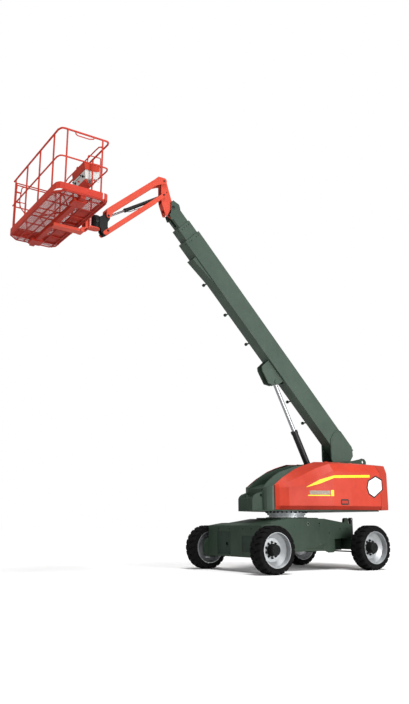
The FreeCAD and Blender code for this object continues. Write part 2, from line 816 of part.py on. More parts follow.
def jib_barrel():
    """Jib cylinder body with its base eye."""
    parts = [rod((30, 0, 0), (985, 0, 0), JIB_BARREL_R)]
    parts.append(rod((945, 0, 0), (985, 0, 0), JIB_BARREL_R + 5))
    parts.append(rod_y(0, 0, 40, -38, 38))
    shape = join(parts)
    tools = [rod((90, 0, 0), (1200, 0, 0), JIB_ROD_R + PIN_GAP)]
    tools.append(rod_y(0, 0, JIB_PIN_R + PIN_GAP, -100, 100))
    return turned(cut(shape, tools), jib_cylinder_angle(), JIB_MID[0], JIB_MID[1])


def jib_rod():
    """Jib cylinder rod with its end eye."""
    length = math.hypot(OUT_TOP[1] - JIB_MID[1], OUT_TOP[0] - JIB_MID[0])
    parts = [rod((400, 0, 0), (length - 20, 0, 0), JIB_ROD_R)]
    parts.append(rod_y(length, 0, 34, -32, 32))
    return turned(join(parts), jib_cylinder_angle(), JIB_MID[0], JIB_MID[1])


def jib_end_bracket():
    """End bracket with the platform rotator housing."""
    tx, tz = OUT_TOP
    lx, lz = OUT_LOW
    sx = SWING_X
    outline = [
        (tx - 46, tz + 18),
        (tx - 10, tz + 44),
        (tx + 50, tz + 30),
        (sx - 60, tz - 42),
        (sx - 60, tz - 268),
        (sx - 98, tz - 276),
        (sx - 98, tz - 322),
        (lx + 100, lz - 50),
        (lx + 40, lz - 92),
        (lx - 30, lz - 50),
        (lx - 44, lz + 10),
        (lx - 7, lz + 90),
        (tx - 7, tz - 119),
        (tx - 42, tz - 60),
        (tx - 50, tz - 30),
    ]
    parts = []
    for s in (-1, 1):
        y0, y1 = sorted((s * 44, s * 66))
        parts.append(along_y(outline, y0, y1))
        for (x, z) in (OUT_TOP, OUT_LOW):
            y0, y1 = sorted((s * 60, s * 110))
            parts.append(rod_y(x, z, JIB_PIN_R, y0, y1))
    parts.append(box(sx - 140, sx - 60, -66, 66, tz - 268, tz - 44))
    parts.append(rod((sx, 0, tz - 278), (sx, 0, tz - 40), 82))
    parts.append(rod((sx, 0, tz - 283), (sx, 0, tz - 278), 50))
    parts.append(rod((sx, 0, tz - 40), (sx, 0, tz - 35), 50))
    return join(parts)


# ---- platform ------------------------------------------------------------
def platform_support():
    """Lower rotator ear, back plate and the carrying arm under the floor."""
    sx = SWING_X
    top = OUT_TOP[1] - 6
    low = OUT_TOP[1] - 308
    keel = FLOOR_Z - 150
    parts = [box(sx, sx + 178, -88, 88, low, low + 24)]
    parts.append(rod((sx, 0, low), (sx, 0, low + 24), 88))
    parts.append(box(sx + 150, sx + 178, -120, 120, FLOOR_Z - 56, top))
    web = [
        (sx + 150, FLOOR_Z - 56),
        (sx + 150, top - 10),
        (sx + 236, top - 10),
        (sx + 236, FLOOR_Z - 50),
        (sx + 330, FLOOR_Z - 72),
        (sx + 330, keel),
        (sx + 256, keel),
        (sx + 250, FLOOR_Z - 96),
        (sx + 212, FLOOR_Z - 56),
    ]
    for s in (-1, 1):
        y0, y1 = sorted((s * 74, s * 90))
        parts.append(along_y(web, y0, y1))
    arm = box(sx + 256, sx + 850, -75, 75, keel, FLOOR_Z - 94)
    parts.append(arm.cut(box(sx + 264, sx + 860, -67, 67, keel + 8, FLOOR_Z - 102)))
    return join(parts)


def rotator_strap():
    """Thin strap from the back plate over the rotator's top cap."""
    sx = SWING_X
    z = OUT_TOP[1] - 34
    parts = [box(sx, sx + 150, -36, 36, z, z + 10)]
    parts.append(rod((sx, 0, z), (sx, 0, z + 10), 52))
    return join(parts)


# three bearers each side of the middle one
BEARER = (BASKET_LEN / 2 - 190.0) / 3


def platform_frame():
    """Underframe: perimeter tube, beam, bearers and bracing."""
    x0, x1 = BASKET_X0, BASKET_X1
    y1 = BASKET_LEN / 2
    z = FLOOR_Z - 30
    ring = deck_plan(14.0)
    parts = [tube_run([(x, y, z) for x, y in ring + ring[:2]], 14)]
    xm = x0 + 475
    parts.append(box(xm - 46, xm + 46, -y1 + 16, y1 - 16, FLOOR_Z - 94, FLOOR_Z - 12))
    for x in (x0 + 62, x0 + 300, x1 - 190, x1 - 330):
        parts.append(rod((x, -y1 + 20, z + 4), (x, y1 - 20, z + 4), 13))
    for i in range(-3, 4):
        parts.append(rod((x0 + 16, i * BEARER, z + 5), (x1 - 16, i * BEARER, z + 5), 12))
    for s in (-1, 1):
        parts.append(rod((x0 + 300, s * 360, z + 6), (x1 - 190, s * 3 * BEARER, z + 6), 10))
        parts.append(rod((x1 - 190, s * 20, z + 6), (x0 + 300, s * 700, z + 6), 10))
        ya, yb = sorted((s * (y1 - 365), s * (y1 - 140)))
        parts.append(box(xm - 115, xm + 115, ya, yb, FLOOR_Z - 112, FLOOR_Z - 50))
    return join(parts)


CORNER_IN = 105.0
CORNER_OUT = 170.0


def deck_plan(inset):
    """Eight-cornered outline of the platform deck, moved inwards."""
    x0, x1 = BASKET_X0 + inset, BASKET_X1 - inset
    y1 = BASKET_LEN / 2 - inset
    near = CORNER_IN - inset / 2
    off = CORNER_OUT - inset / 2
    half = [(x0 + near, y1), (x1 - off, y1), (x1, y1 - off), (x1, -y1 + off)]
    return half + [(x1 - off, -y1), (x0 + near, -y1), (x0, -y1 + near), (x0, y1 - near)]


def platform_floor():
    """Floor plate, drawn plain; it is a mesh deck on the machine."""
    plate = along_z(deck_plan(18.0), FLOOR_Z - 12, FLOOR_Z - 6)
    slots = []
    for i in range(-3, 3):
        y = i * BEARER
        slots.append(box(BASKET_X0 + 22, BASKET_X0 + 46, y + 25, y + BEARER - 25, FLOOR_Z - 20, FLOOR_Z))
    return cut(plate, slots)


TOE_LOW = 15.0
TOE_TOP = 140.0
POST_R = 15.0
RAIL_R = 17.0
MID_RAIL = 630.0
SIDE_RAIL_Y = 80.0
SIDE_END = BASKET_LEN / 2 - SIDE_RAIL_Y
RAIL_IN = -12.0
RAIL_OUT = 45.0
BEND_OUT = 105.0
BEND_IN = 95.0
CONSOLE_NEAR = -150.0
CONSOLE_FAR = 400.0


def long_rail(x, side, bend, posts, board_bend, foot):
    """Rails, posts and toe board of one long side; side is +1 or -1 in x."""
    y1 = SIDE_END
    parts = []
    for z, r in ((RAIL_TOP, RAIL_R), (FLOOR_Z + MID_RAIL, RAIL_R - 3)):
        run = [(x, -y1, z), (x, y1 - bend, z), (x - side * 22, y1 - bend / 3.2, z)]
        run += [(x - side * bend / 2.4, y1 - 10, z), (x - side * bend * 0.8, y1, z)]
        run += [(x - side * bend * 1.1, y1, z)]
        parts.append(tube_run(run, r))
    for y in posts:
        parts.append(rod((x, y, foot), (x, y, RAIL_TOP), POST_R))
    b = board_bend
    out = [(x + side * 14, -y1), (x + side * 14, y1 - b), (x + side * 4, y1 - b * 0.45)]
    out += [(x - side * b * 0.4, y1 + 8), (x - side * b, y1 + 14)]
    back = [(x - side * b, y1 + 8), (x - side * (b * 0.4 + 2), y1 + 2)]
    back += [(x - side * 2, y1 - b * 0.45 - 2), (x + side * 8, y1 - b), (x + side * 8, -y1)]
    parts.append(along_z(out + back, FLOOR_Z + TOE_LOW, FLOOR_Z + TOE_TOP))
    return join(parts)


def rail_outer():
    """Long side away from the boom: toe board, posts and rails."""
    posts = [100 - SIDE_END + i * (2 * SIDE_END - 370) / 3 for i in range(4)]
    return long_rail(BASKET_X1 - RAIL_OUT, 1, BEND_OUT, posts, 112.0, FLOOR_Z - 6)


def rail_inner():
    """Long side next to the boom: toe board, posts and rails."""
    posts = (100 - SIDE_END, 770 - SIDE_END, CONSOLE_FAR + 70)
    x = BASKET_X0 + RAIL_IN
    ya, yb = SIDE_END, -SIDE_END
    sides = long_rail(x, -1, BEND_IN, posts, 80.0, FLOOR_Z - 20)
    line = [(x, ya - 290, RAIL_TOP), (x, ya - 360, RAIL_TOP + 84), (x, ya - 470, RAIL_TOP + 132)]
    line += [(x, ya - 590, GUARD_Z), (x, yb + 450, GUARD_Z), (x, yb + 330, RAIL_TOP + 104)]
    line += [(x, yb + 270, RAIL_TOP)]
    return join([sides, tube_run(line, 12)])


GUARD_Z = RAIL_TOP + 140.0


def rail_left():
    """Closed short side: toe board, two posts, rails and grab loop."""
    xa = BASKET_X0 + RAIL_IN + BEND_IN * 1.1
    xb = BASKET_X1 - RAIL_OUT - BEND_OUT * 1.1
    y = SIDE_END
    parts = []
    for z, r in ((RAIL_TOP, RAIL_R), (FLOOR_Z + MID_RAIL, RAIL_R - 3)):
        parts.append(rod((xa, y, z), (xb, y, z), r))
    for x in (BASKET_X0 + 128, xb - 16):
        parts.append(rod((x, y, FLOOR_Z - 6), (x, y, RAIL_TOP), POST_R))
    low = RAIL_TOP - 66
    loop = [(xb - 160, y, RAIL_TOP), (xb - 168, y, low + 20), (xb - 200, y, low)]
    loop += [(xa + 297, y, low), (xa + 217, y, low + 24), (xa + 187, y, RAIL_TOP)]
    parts.append(tube_run(loop, 10))
    parts.append(box(xa, xb, y + 8, y + 14, FLOOR_Z + TOE_LOW, FLOOR_Z + TOE_TOP))
    return join(parts)


def gate():
    """Swing gate of the open short side."""
    xa = BASKET_X0 + 59
    xb = BASKET_X1 - RAIL_OUT - 44
    y = -BASKET_LEN / 2 + SIDE_RAIL_Y + 20
    z0 = FLOOR_Z + 20
    zt = RAIL_TOP - 30
    zm = FLOOR_Z + 610
    parts = [box(xa, xb, y - 3, y + 3, z0, z0 + 125)]
    for x in (xa, xb):
        parts.append(rod((x, y, z0), (x, y, zt), 13))
        parts.append(Part.makeSphere(13, Vector(x, y, zt)))
    for z in (zt, zt - 42, zm, z0 + 125):
        parts.append(rod((xa, y, z), (xb, y, z), 12))
    guard = [(xb - 90, y, zm), (xb - 90, y, zm + 120), (xb - 210, y, zm + 120), (xb - 210, y, zm)]
    parts.append(tube_run(guard, 9))
    return join(parts)


def console():
    """Operator's control box, tilted across the boom-side rail."""
    x = BASKET_X0
    z = FLOOR_Z
    side = [(x - 182, z + 869), (x - 132, z + 813), (x + 91, z + 762)]
    side += [(x + 106, z + 935), (x + 100, z + 946), (x - 186, z + 998)]
    return along_y(side, CONSOLE_NEAR, CONSOLE_FAR)


def console_hood():
    """Red cover over the control box with its two tube hoops."""
    x = BASKET_X0
    z = FLOOR_Z
    side = [(x - 178, z + 1000), (x + 100, z + 950), (x + 112, z + 958), (x + 134, z + 1075)]
    side += [(x + 90, z + 1092), (x - 5, z + 1110), (x - 180, z + 1118)]
    parts = [along_y(side, CONSOLE_NEAR - 12, CONSOLE_FAR + 12)]
    lip = [(x - 178, z + 1004), (x - 175, z + 977), (x - 121, z + 950), (x - 34, z + 946)]
    lip += [(x + 47, z + 944), (x + 107, z + 955), (x + 104, z + 962)]
    for y in (CONSOLE_NEAR - 12, CONSOLE_FAR + 2):
        parts.append(along_y(lip, y, y + 10))
    for y in (CONSOLE_NEAR + 10, CONSOLE_FAR - 10):
        hoop = [(x + 64, y, z + 1085), (x + 52, y, z + 1234), (x + 39, y, z + 1256)]
        hoop += [(x - 75, y, z + 1262), (x - 186, y, z + 1266), (x - 202, y, z + 1248)]
        hoop += [(x - 202, y, z + 880)]
        parts.append(tube_run(hoop, 10))
        parts.append(box(x - 200, x - 170, y - 8, y + 8, z + 1088, z + 1112))
    return join(parts)


def console_bracket():
    """Red hanger from the middle rail up to the control box."""
    x = BASKET_X0
    z = FLOOR_Z
    rail = z + MID_RAIL + RAIL_R - 3
    hang = [(x - 24, rail), (x, rail), (x + 100, z + 750), (x + 91, z + 762)]
    hang += [(x + 60, z + 769)]
    parts = [along_y(hang, -130, 380)]
    foot = [(x - 130, z + 812.5), (x - 100, z + 805.6), (x - 4, rail), (x - 24, rail)]
    for y in (-110, 352):
        parts.append(along_y(foot, y, y + 12))
    return join(parts)


def place_all():
    """Every node by name."""
    nodes = {
        "chassis_frame": chassis_frame(),
        "chassis_drive_end": chassis_drive_end(),
        "steer_axle": steer_axle(),
        "slew_ring_lower": slew_ring_lower(),
        "tie_rod": tie_rod(),
        "steer_cylinder": steer_cylinder(),
        "steer_rod": steer_rod(),
        "slew_ring_upper": slew_ring_upper(),
        "turntable_base": turntable_base(),
        "boom_pin": boom_pin(),
        "lift_pin": lift_pin(),
        "counterweight": counterweight(),
        "engine_block": engine_block(),
        "tank_block": tank_block(),
        "boom_base": boom_base(),
        "boom_mid": boom_mid(),
        "boom_fly": boom_fly(),
        "lift_barrel": lift_barrel(),
        "lift_rod": lift_rod(),
        "jib_bracket": jib_bracket(),
        "level_rod": level_rod(),
        "jib_upper_arm": jib_upper_arm(),
        "jib_lower_arm": jib_lower_arm(),
        "jib_barrel": jib_barrel(),
        "jib_rod": jib_rod(),
        "jib_end_bracket": jib_end_bracket(),
        "platform_support": platform_support(),
        "rotator_strap": rotator_strap(),
        "platform_frame": platform_frame(),
        "platform_floor": platform_floor(),
        "rail_outer": rail_outer(),
        "rail_inner": rail_inner(),
        "rail_left": rail_left(),
        "gate": gate(),
        "console": console(),
        "console_hood": console_hood(),
        "console_bracket": console_bracket(),
    }
    pairs = {
        "knuckle": knuckle(),
        "oscillation_cylinder": oscillation_cylinder(),
        "tower": tower(),
        "front_cover": front_cover(),
        "hood": hood_left(),
    }
    for name, shape in pairs.items():
        nodes[name + "_left"] = shape
        nodes[name + "_right"] = flip(shape)
    for end, x in (("drive", AXLE_X), ("steer", -AXLE_X)):
        for hand, side in (("left", 1), ("right", -1)):
            nodes["tyre_%s_%s" % (end, hand)] = tyre(x, side)
            nodes["wheel_%s_%s" % (end, hand)] = wheel(x, side)
    return nodes


os.makedirs("parts", exist_ok=True)
for node, shape in place_all().items():
    if len(shape.Solids) != 1 or not shape.isValid():
        print("CHECK", node, len(shape.Solids), shape.isValid())
    shape.exportStep("parts/%s.step" % node)
print("done")
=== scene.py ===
"""Telescopic boom lift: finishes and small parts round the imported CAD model."""

import logging
import math
from dataclasses import dataclass
from enum import Enum
from typing import Iterable, Sequence

import bpy
from mathutils import Matrix, Vector


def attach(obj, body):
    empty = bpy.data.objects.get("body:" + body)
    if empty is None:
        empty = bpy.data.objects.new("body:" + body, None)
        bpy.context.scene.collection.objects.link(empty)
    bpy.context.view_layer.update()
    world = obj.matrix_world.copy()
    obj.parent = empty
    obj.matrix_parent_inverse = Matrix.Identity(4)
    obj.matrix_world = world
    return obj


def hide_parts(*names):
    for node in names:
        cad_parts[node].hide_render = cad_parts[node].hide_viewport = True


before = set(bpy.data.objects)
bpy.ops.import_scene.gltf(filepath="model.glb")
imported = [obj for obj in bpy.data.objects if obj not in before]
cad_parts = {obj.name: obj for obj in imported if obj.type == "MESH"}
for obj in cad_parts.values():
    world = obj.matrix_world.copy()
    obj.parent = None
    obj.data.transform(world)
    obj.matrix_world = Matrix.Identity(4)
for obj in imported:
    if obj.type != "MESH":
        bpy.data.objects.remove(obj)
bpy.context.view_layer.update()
LOG = logging.getLogger("boom_lift")

Colour = tuple[float, float, float, float]
Flat = tuple[float, float]
Point = tuple[float, float, float]
Place = Point | Vector
Piece = bpy.types.Object

# sizes shared with the CAD model, in metres
AXLE_X = 1.265
WHEEL_Y = 1.0915
WHEEL_R = 0.435
BOOM_SLOPE = math.radians(46.0)
PIVOT = (-1.5, 2.05)
LIFT_PIN = (-0.95, 1.5)
KINGPIN_Y = 0.8

FULL_TURN = 2 * math.pi
UP = (0.0, 0.0, 1.0)
DOWN = (0.0, 0.0, -1.0)
AHEAD = (1.0, 0.0, 0.0)
BACK = (-1.0, 0.0, 0.0)
LEFTWARD = (0.0, 1.0, 0.0)
BOOM_UP = (-math.sin(BOOM_SLOPE), 0.0, math.cos(BOOM_SLOPE))
BOOM_DOWN = (math.sin(BOOM_SLOPE), 0.0, -math.cos(BOOM_SLOPE))


class Side(Enum):
    """The two sides of the machine."""

    LEFT = 1
    RIGHT = -1

    @property
    def word(self) -> str:
        """The side's name as node names end with it."""
        return self.name.lower()

    @property
    def out(self) -> Point:
        """The way out from the machine's middle."""
        return (0, self.value, 0)


class End(Enum):
    """The two axles."""

    DRIVE = 1
    STEER = -1

    @property
    def word(self) -> str:
        """The axle's name as node names hold it."""
        return self.name.lower()


# ---- finishes ------------------------------------------------------------
def linear(code: str) -> Colour:
    """sRGB hex to linear colour.

    Args:
        code: six hex digits.
    Returns:
        Linear red, green, blue and an alpha of one.
    """
    out = []
    for i in (0, 2, 4):
        c = int(code[i : i + 2], 16) / 255.0
        out.append(c / 12.92 if c <= 0.04045 else ((c + 0.055) / 1.055) ** 2.4)
    return (out[0], out[1], out[2], 1.0)


def grey(value: float) -> Colour:
    """A linear grey as a colour."""
    return (value, value, value, 1.0)


def add_node(
    tree: bpy.types.NodeTree,
    kind: str,
    values: dict | None = None,
    stops: Sequence[Flat] = (),
    **links: bpy.types.NodeSocket,
) -> bpy.types.Node:
    """Adds a node with its settings and input links.

    Args:
        tree: the node tree.
        kind: the node's type name.
        values: settings by attribute, and socket values by input name or number.
        stops: (position, grey) of the two ends of a colour ramp.
        links: output sockets by input name, with _ for a blank, or by n and a number.
    Returns:
        The new node.
    """
    made = tree.nodes.new(kind)
    for key, value in (values or {}).items():
        if isinstance(key, str) and hasattr(made, key):
            setattr(made, key, value)
        else:
            made.inputs[key].default_value = value
    if stops:
        for element, (position, level) in zip(made.color_ramp.elements, stops):
            element.position = position
            element.color = grey(level)
    for key, socket in links.items():
        numbered = key[0] == "n" and key[1:].isdigit()
        tree.links.new(socket, made.inputs[int(key[1:]) if numbered else key.replace("_", " ")])
    return made


@dataclass(frozen=True)
class Finish:
    """A surface: base colour, its variation and its small relief.

    patch_mm, speck_mm and grain_mm are the real sizes of the colour's drift, of the dirt
    and of the relief. slot is a material slot name that nothing in this script uses.
    """

    name: str
    base: str
    shade: str
    dust: str = "8C8477"
    slot: str = "black_paint"
    metallic: float = 0.0
    roughness: float = 0.4
    spread: float = 0.12
    ior: float = 1.36
    patch_mm: float = 420.0
    speck_mm: float = 9.0
    speck: float = 0.0
    grain_mm: float = 4.0
    relief: float = 0.05
    dust_top: float = 0.0
    dust_most: float = 0.0
    streaks: float = 0.0

    def build(self) -> bpy.types.Material:
        """The finish as a node material, made once.

        Returns:
            The material.
        """
        known = bpy.data.materials.get(self.name)
        if known is not None:
            return known
        material = bpy.data.materials.new(self.name)
        material.use_nodes = True
        tree = material.node_tree
        tree.nodes.clear()
        place = add_node(tree, "ShaderNodeTexCoord").outputs["Object"]
        patch, speck, grain = (
            add_node(
                tree,
                "ShaderNodeTexNoise",
                {"Scale": 1000.0 / size, "Detail": detail, "Roughness": rough},
                Vector=place,
            ).outputs["Fac"]
            for size, detail, rough in (
                (self.patch_mm, 4.0, 0.6),
                (self.speck_mm, 2.0, 0.5),
                (self.grain_mm, 3.0, 0.5),
            )
        )
        drift = add_node(tree, "ShaderNodeValToRGB", None, ((0.35, 0.0), (0.68, 1.0)), Fac=patch)
        mix = {"data_type": "RGBA", 6: linear(self.base), 7: linear(self.shade)}
        colour = add_node(tree, "ShaderNodeMix", mix, Factor=drift.outputs["Color"]).outputs[2]
        for mask in self.masks(tree, place, speck):
            mix = {"data_type": "RGBA", 7: linear(self.dust)}
            colour = add_node(tree, "ShaderNodeMix", mix, Factor=mask, n6=colour).outputs[2]
        low, high = self.roughness - self.spread / 2, self.roughness + self.spread / 2
        gloss = add_node(tree, "ShaderNodeValToRGB", None, ((0.3, low), (0.7, high)), Fac=patch)
        depth = self.grain_mm / 4000.0
        bump = add_node(
            tree, "ShaderNodeBump", {"Strength": self.relief, "Distance": depth}, Height=grain
        )
        shader = add_node(
            tree,
            "ShaderNodeBsdfPrincipled",
            {"Metallic": self.metallic},
            Base_Color=colour,
            Roughness=gloss.outputs["Color"],
            Normal=bump.outputs["Normal"],
        )
        if self.metallic < 0.5:
            shader.inputs["IOR"].default_value = self.ior
        add_node(tree, "ShaderNodeOutputMaterial", Surface=shader.outputs["BSDF"])
        material.diffuse_color = linear(self.base)
        return material

    def masks(
        self,
        tree: bpy.types.NodeTree,
        place: bpy.types.NodeSocket,
        speck: bpy.types.NodeSocket,
    ) -> list[bpy.types.NodeSocket]:
        """Where dust lies: in specks, in runs down the sides and near the ground.

        Args:
            tree: the material's node tree.
            place: object coordinates.
            speck: the dirt's noise.
        Returns:
            The masks, 1 for dust, of the kinds that this finish has.
        """
        found = []
        if self.speck > 0.0:
            stops = ((0.62, 0.0), (0.72, self.speck))
            made = add_node(tree, "ShaderNodeValToRGB", None, stops, Fac=speck)
            found.append(made.outputs["Color"])
        if self.streaks > 0.0:
            drawn = add_node(tree, "ShaderNodeMapping", {"Scale": (9.0, 9.0, 0.7)}, Vector=place)
            values = {"Scale": 1.6, "Detail": 3.0}
            run = add_node(tree, "ShaderNodeTexNoise", values, Vector=drawn.outputs["Vector"])
            stops = ((0.55, 0.0), (0.8, self.streaks))
            made = add_node(tree, "ShaderNodeValToRGB", None, stops, Fac=run.outputs["Fac"])
            found.append(made.outputs["Color"])
        if self.dust_most > 0.0:
            height = add_node(tree, "ShaderNodeSeparateXYZ", None, Vector=place).outputs["Z"]
            values = {"From Max": self.dust_top, "To Min": self.dust_most, "To Max": 0.0}
            fade = add_node(tree, "ShaderNodeMapRange", values, Value=height)
            stops = ((0.3, 0.25), (0.7, 1.0))
            broken = add_node(tree, "ShaderNodeValToRGB", None, stops, Fac=speck)
            made = add_node(
                tree,
                "ShaderNodeMath",
                {"operation": "MULTIPLY"},
                n0=fade.outputs["Result"],
                n1=broken.outputs["Color"],
            )
            found.append(made.outputs["Value"])
        return found


# baked enamel over steel sheet: even colour, slight orange peel, soft gloss
RED_ENAMEL = Finish(
    "red_enamel", "B5351F", "A92E1A", roughness=0.5, grain_mm=6.0, relief=0.06, streaks=0.05
)
# the same enamel on tube and box section, hand sprayed and a little rougher
RED_SECTION = Finish(
    "red_section_enamel", "C94A36", "BD402D", roughness=0.48, grain_mm=5.0, speck=0.04
)
# the same coat on the cage tubes, a little darker
RAIL_RED = Finish(
    "rail_red_enamel", "BE3724", "AC2D1C", slot="red_paint", roughness=0.5, grain_mm=5.0, speck=0.05
)
# the same coat on the deck and its frame, walked on and in shade
DARK_RED = Finish(
    "dark_red_enamel", "A82814", "951F10", slot="red_dark", roughness=0.5, grain_mm=5.0, speck=0.06
)
# painted shade: the same enamel darkened along the hoods' tucked lower edge, where shade falls,
# with dust specks
LIP_SHADE_RED = Finish(
    "painted_lip_shade_enamel", "9E2712", "8C200E", slot="red_paint", roughness=0.6, grain_mm=5.0,
    speck=0.12,
)
# painted cast iron: the mould's skin shows through the coat
CAST_RED = Finish(
    "cast_iron_red", "A83624", "9C2F1E", roughness=0.45, patch_mm=600.0, grain_mm=14.0, relief=0.16
)
# sprayed enamel on the boom's folded plate: even, with faint rain runs
BOOM_GREEN = Finish(
    "boom_green_enamel", "3F4E44", "37463C", slot="green_paint", roughness=0.46, grain_mm=6.0,
    speck=0.015, streaks=0.03,
)
# the darker coat of the carrier, dusted by the road up to the deck
FRAME_GREEN = Finish(
    "frame_green_enamel", "293B2F", "233428", slot="dark_green", roughness=0.5, grain_mm=6.0,
    relief=0.06, speck=0.03, dust_top=0.8, dust_most=0.09, streaks=0.05,
)
# painted shade: the frame coat darkened on the floors of the pressed recesses, where shade falls,
# dull with specks
RECESS_SHADE_GREEN = Finish(
    "recess_shade_enamel", "23332A", "1E2C24", slot="dark_green", roughness=0.6, grain_mm=6.0,
    speck=0.05,
)
# black enamel on cylinders and brackets: soft gloss under fine dust
BLACK_ENAMEL = Finish("black_enamel", "141516", "0F1011", roughness=0.42, grain_mm=5.0, speck=0.1)
# machined and chromed rod: mirror gloss with fine wiping marks
CHROME = Finish(
    "hard_chrome", "A6A8A9", "989A9C", metallic=1.0, roughness=0.24, spread=0.06, grain_mm=3.0,
    relief=0.0,
)
# zinc coat on a turned ring: dull silver with a spangle
ZINC = Finish(
    "zinc_coat", "D2D7D9", "BFC5C8", slot="galvanised", metallic=0.35, roughness=0.5, patch_mm=60.0,
    grain_mm=8.0, speck=0.1,
)
# aluminium-coloured wheel paint over pressed steel
WHEEL_SILVER = Finish(
    "wheel_silver_paint", "B7BABC", "A5A9AC", metallic=0.6, roughness=0.36, patch_mm=160.0,
    grain_mm=6.0, speck=0.14, dust_top=0.9, dust_most=0.12,
)
# vulcanised rubber: near black, matt, with grey bloom and dust in the grain
RUBBER = Finish(
    "vulcanised_rubber", "0E0E0F", "0A0A0B", dust="4A4843", slot="tyre_rubber", roughness=0.85,
    ior=1.2, patch_mm=120.0, grain_mm=5.0, relief=0.22, speck=0.06, dust_top=0.9, dust_most=0.06,
)
# extruded rubber strip: dull black that takes little light
SEAL = Finish("rubber_seal", "161717", "111212", roughness=0.75, ior=1.25, relief=0.15)
# moulded ABS: fine leather grain
GREY_ABS = Finish(
    "grey_abs", "C9C9C6", "BFBFBC", slot="grey_box", roughness=0.5, grain_mm=3.0, relief=0.1,
    speck=0.06,
)
BLACK_ABS = Finish("black_abs", "202122", "1A1B1C", roughness=0.48, grain_mm=3.0, relief=0.12)
# screen-printed vinyl film
YELLOW_FILM = Finish(
    "yellow_film", "F6D22A", "EFC61F", slot="grey_box", grain_mm=8.0, relief=0.02, streaks=0.03
)
# brushed name plate, left blank
NAME_PLATE = Finish(
    "brushed_plate", "8F8477", "7A7066", slot="grey_box", metallic=0.2, roughness=0.45,
    patch_mm=30.0, grain_mm=3.0,
)
# lacquered sheet of the blank signs: flat and smooth
PALE_PLATE = Finish(
    "pale_sign_plate", "E9E8E4", "DEDDD8", slot="grey_box", roughness=0.42, grain_mm=6.0,
    relief=0.03, speck=0.05,
)
# cast iron under thin paint: coarse sand skin and oily dirt
ENGINE_GREY = Finish(
    "cast_iron_grey", "55585A", "484B4D", slot="engine_grey", roughness=0.6, grain_mm=10.0,
    relief=0.25, speck=0.3,
)
# zinc-plated bolts: yellowish silver
BOLT = Finish(
    "plated_bolt", "9FA09A", "86877F", slot="galvanised", metallic=0.9, roughness=0.42,
    patch_mm=20.0, grain_mm=3.0,
)
# heat-blackened bolts: dark with a faint metal gleam
DARK_BOLT = Finish(
    "blackened_bolt", "26282A", "1D1F20", metallic=0.4, roughness=0.5, patch_mm=20.0, grain_mm=3.0
)
# glossy moulded knob and lens
KNOB_RED = Finish("red_knob", "C92B23", "B9241D", slot="red_paint", roughness=0.35, grain_mm=3.0)

NODE_FINISHES: dict[Finish, str] = {
    FRAME_GREEN: "chassis_frame chassis_drive_end steer_axle knuckle_left knuckle_right tie_rod "
    "turntable_base tower_left tower_right",
    BOOM_GREEN: "boom_base boom_mid boom_fly front_cover_left front_cover_right",
    RED_ENAMEL: "hood_left hood_right console_hood",
    RED_SECTION: "jib_bracket jib_upper_arm jib_lower_arm platform_support level_rod",
    RAIL_RED: "rail_outer rail_inner rail_left gate console_bracket",
    DARK_RED: "platform_frame platform_floor",
    CAST_RED: "counterweight",
    BLACK_ENAMEL: "oscillation_cylinder_left oscillation_cylinder_right steer_cylinder "
    "lift_barrel jib_barrel jib_end_bracket rotator_strap",
    CHROME: "lift_rod jib_rod steer_rod",
    ZINC: "slew_ring_upper slew_ring_lower boom_pin lift_pin",
    WHEEL_SILVER: "wheel_drive_left wheel_drive_right wheel_steer_left wheel_steer_right",
    RUBBER: "tyre_drive_left tyre_drive_right tyre_steer_left tyre_steer_right",
    GREY_ABS: "console",
    ENGINE_GREY: "engine_block tank_block",
}


# ---- workshop ------------------------------------------------------------
def unselect() -> None:
    """Deselects every object."""
    bpy.ops.object.select_all(action="DESELECT")


def pick(piece: Piece) -> None:
    """Makes one object the only selected and active one.

    Args:
        piece: the object.
    """
    unselect()
    piece.select_set(True)
    bpy.context.view_layer.objects.active = piece


def settle(name: str) -> Piece:
    """Names the active object, applies its place to its mesh and deselects all.

    Args:
        name: the object's name.
    Returns:
        The object.
    """
    bpy.ops.object.transform_apply(location=True, rotation=True, scale=True)
    made = bpy.context.object
    made.name = name
    unselect()
    return made


def edit_all() -> None:
    """Opens the active mesh in edit mode with all of it selected."""
    bpy.ops.object.mode_set(mode="EDIT")
    bpy.ops.mesh.select_all(action="SELECT")


def face_out() -> None:
    """Turns the active mesh's faces outwards and leaves edit mode."""
    bpy.ops.mesh.select_all(action="SELECT")
    bpy.ops.mesh.normals_make_consistent(inside=False)
    bpy.ops.object.mode_set(mode="OBJECT")


def shaped(piece: Piece, kind: str, **settings: float | str | bool) -> None:
    """Applies one modifier to a piece.

    Args:
        piece: the piece.
        kind: the modifier's type.
        settings: its settings.
    """
    pick(piece)
    tool = piece.modifiers.new("tool", kind)
    for key, value in settings.items():
        setattr(tool, key, value)
    bpy.ops.object.modifier_apply(modifier=tool.name)


def bevelled(piece: Piece, width: float, segments: int = 2, angle: float = 35.0) -> Piece:
    """Rounds a piece's sharp edges with an applied bevel and smooths its faces.

    Args:
        piece: the piece.
        width: bevel width in metres, or 0 for none.
        segments: steps across the bevel.
        angle: edges that turn more than this are bevelled and kept crisp, in degrees.
    Returns:
        The piece.
    """
    limit = math.radians(angle)
    if width > 0.0:
        edges = {"limit_method": "ANGLE", "angle_limit": limit}
        shaped(piece, "BEVEL", width=width, segments=segments, **edges)
    pick(piece)
    bpy.ops.object.shade_smooth_by_angle(angle=limit)
    unselect()
    return piece


def box(name: str, low: Point, high: Point, edge: float = 0.003) -> Piece:
    """Bevelled block between two opposite corners.

    Args:
        name: the piece's name.
        low: one corner.
        high: the corner across from it.
        edge: bevel width.
    Returns:
        The piece.
    """
    unselect()
    centre = [(a + b) / 2 for a, b in zip(low, high)]
    size = [abs(b - a) for a, b in zip(low, high)]
    bpy.ops.mesh.primitive_cube_add(size=1.0, location=centre, scale=size)
    return bevelled(settle(name), edge)


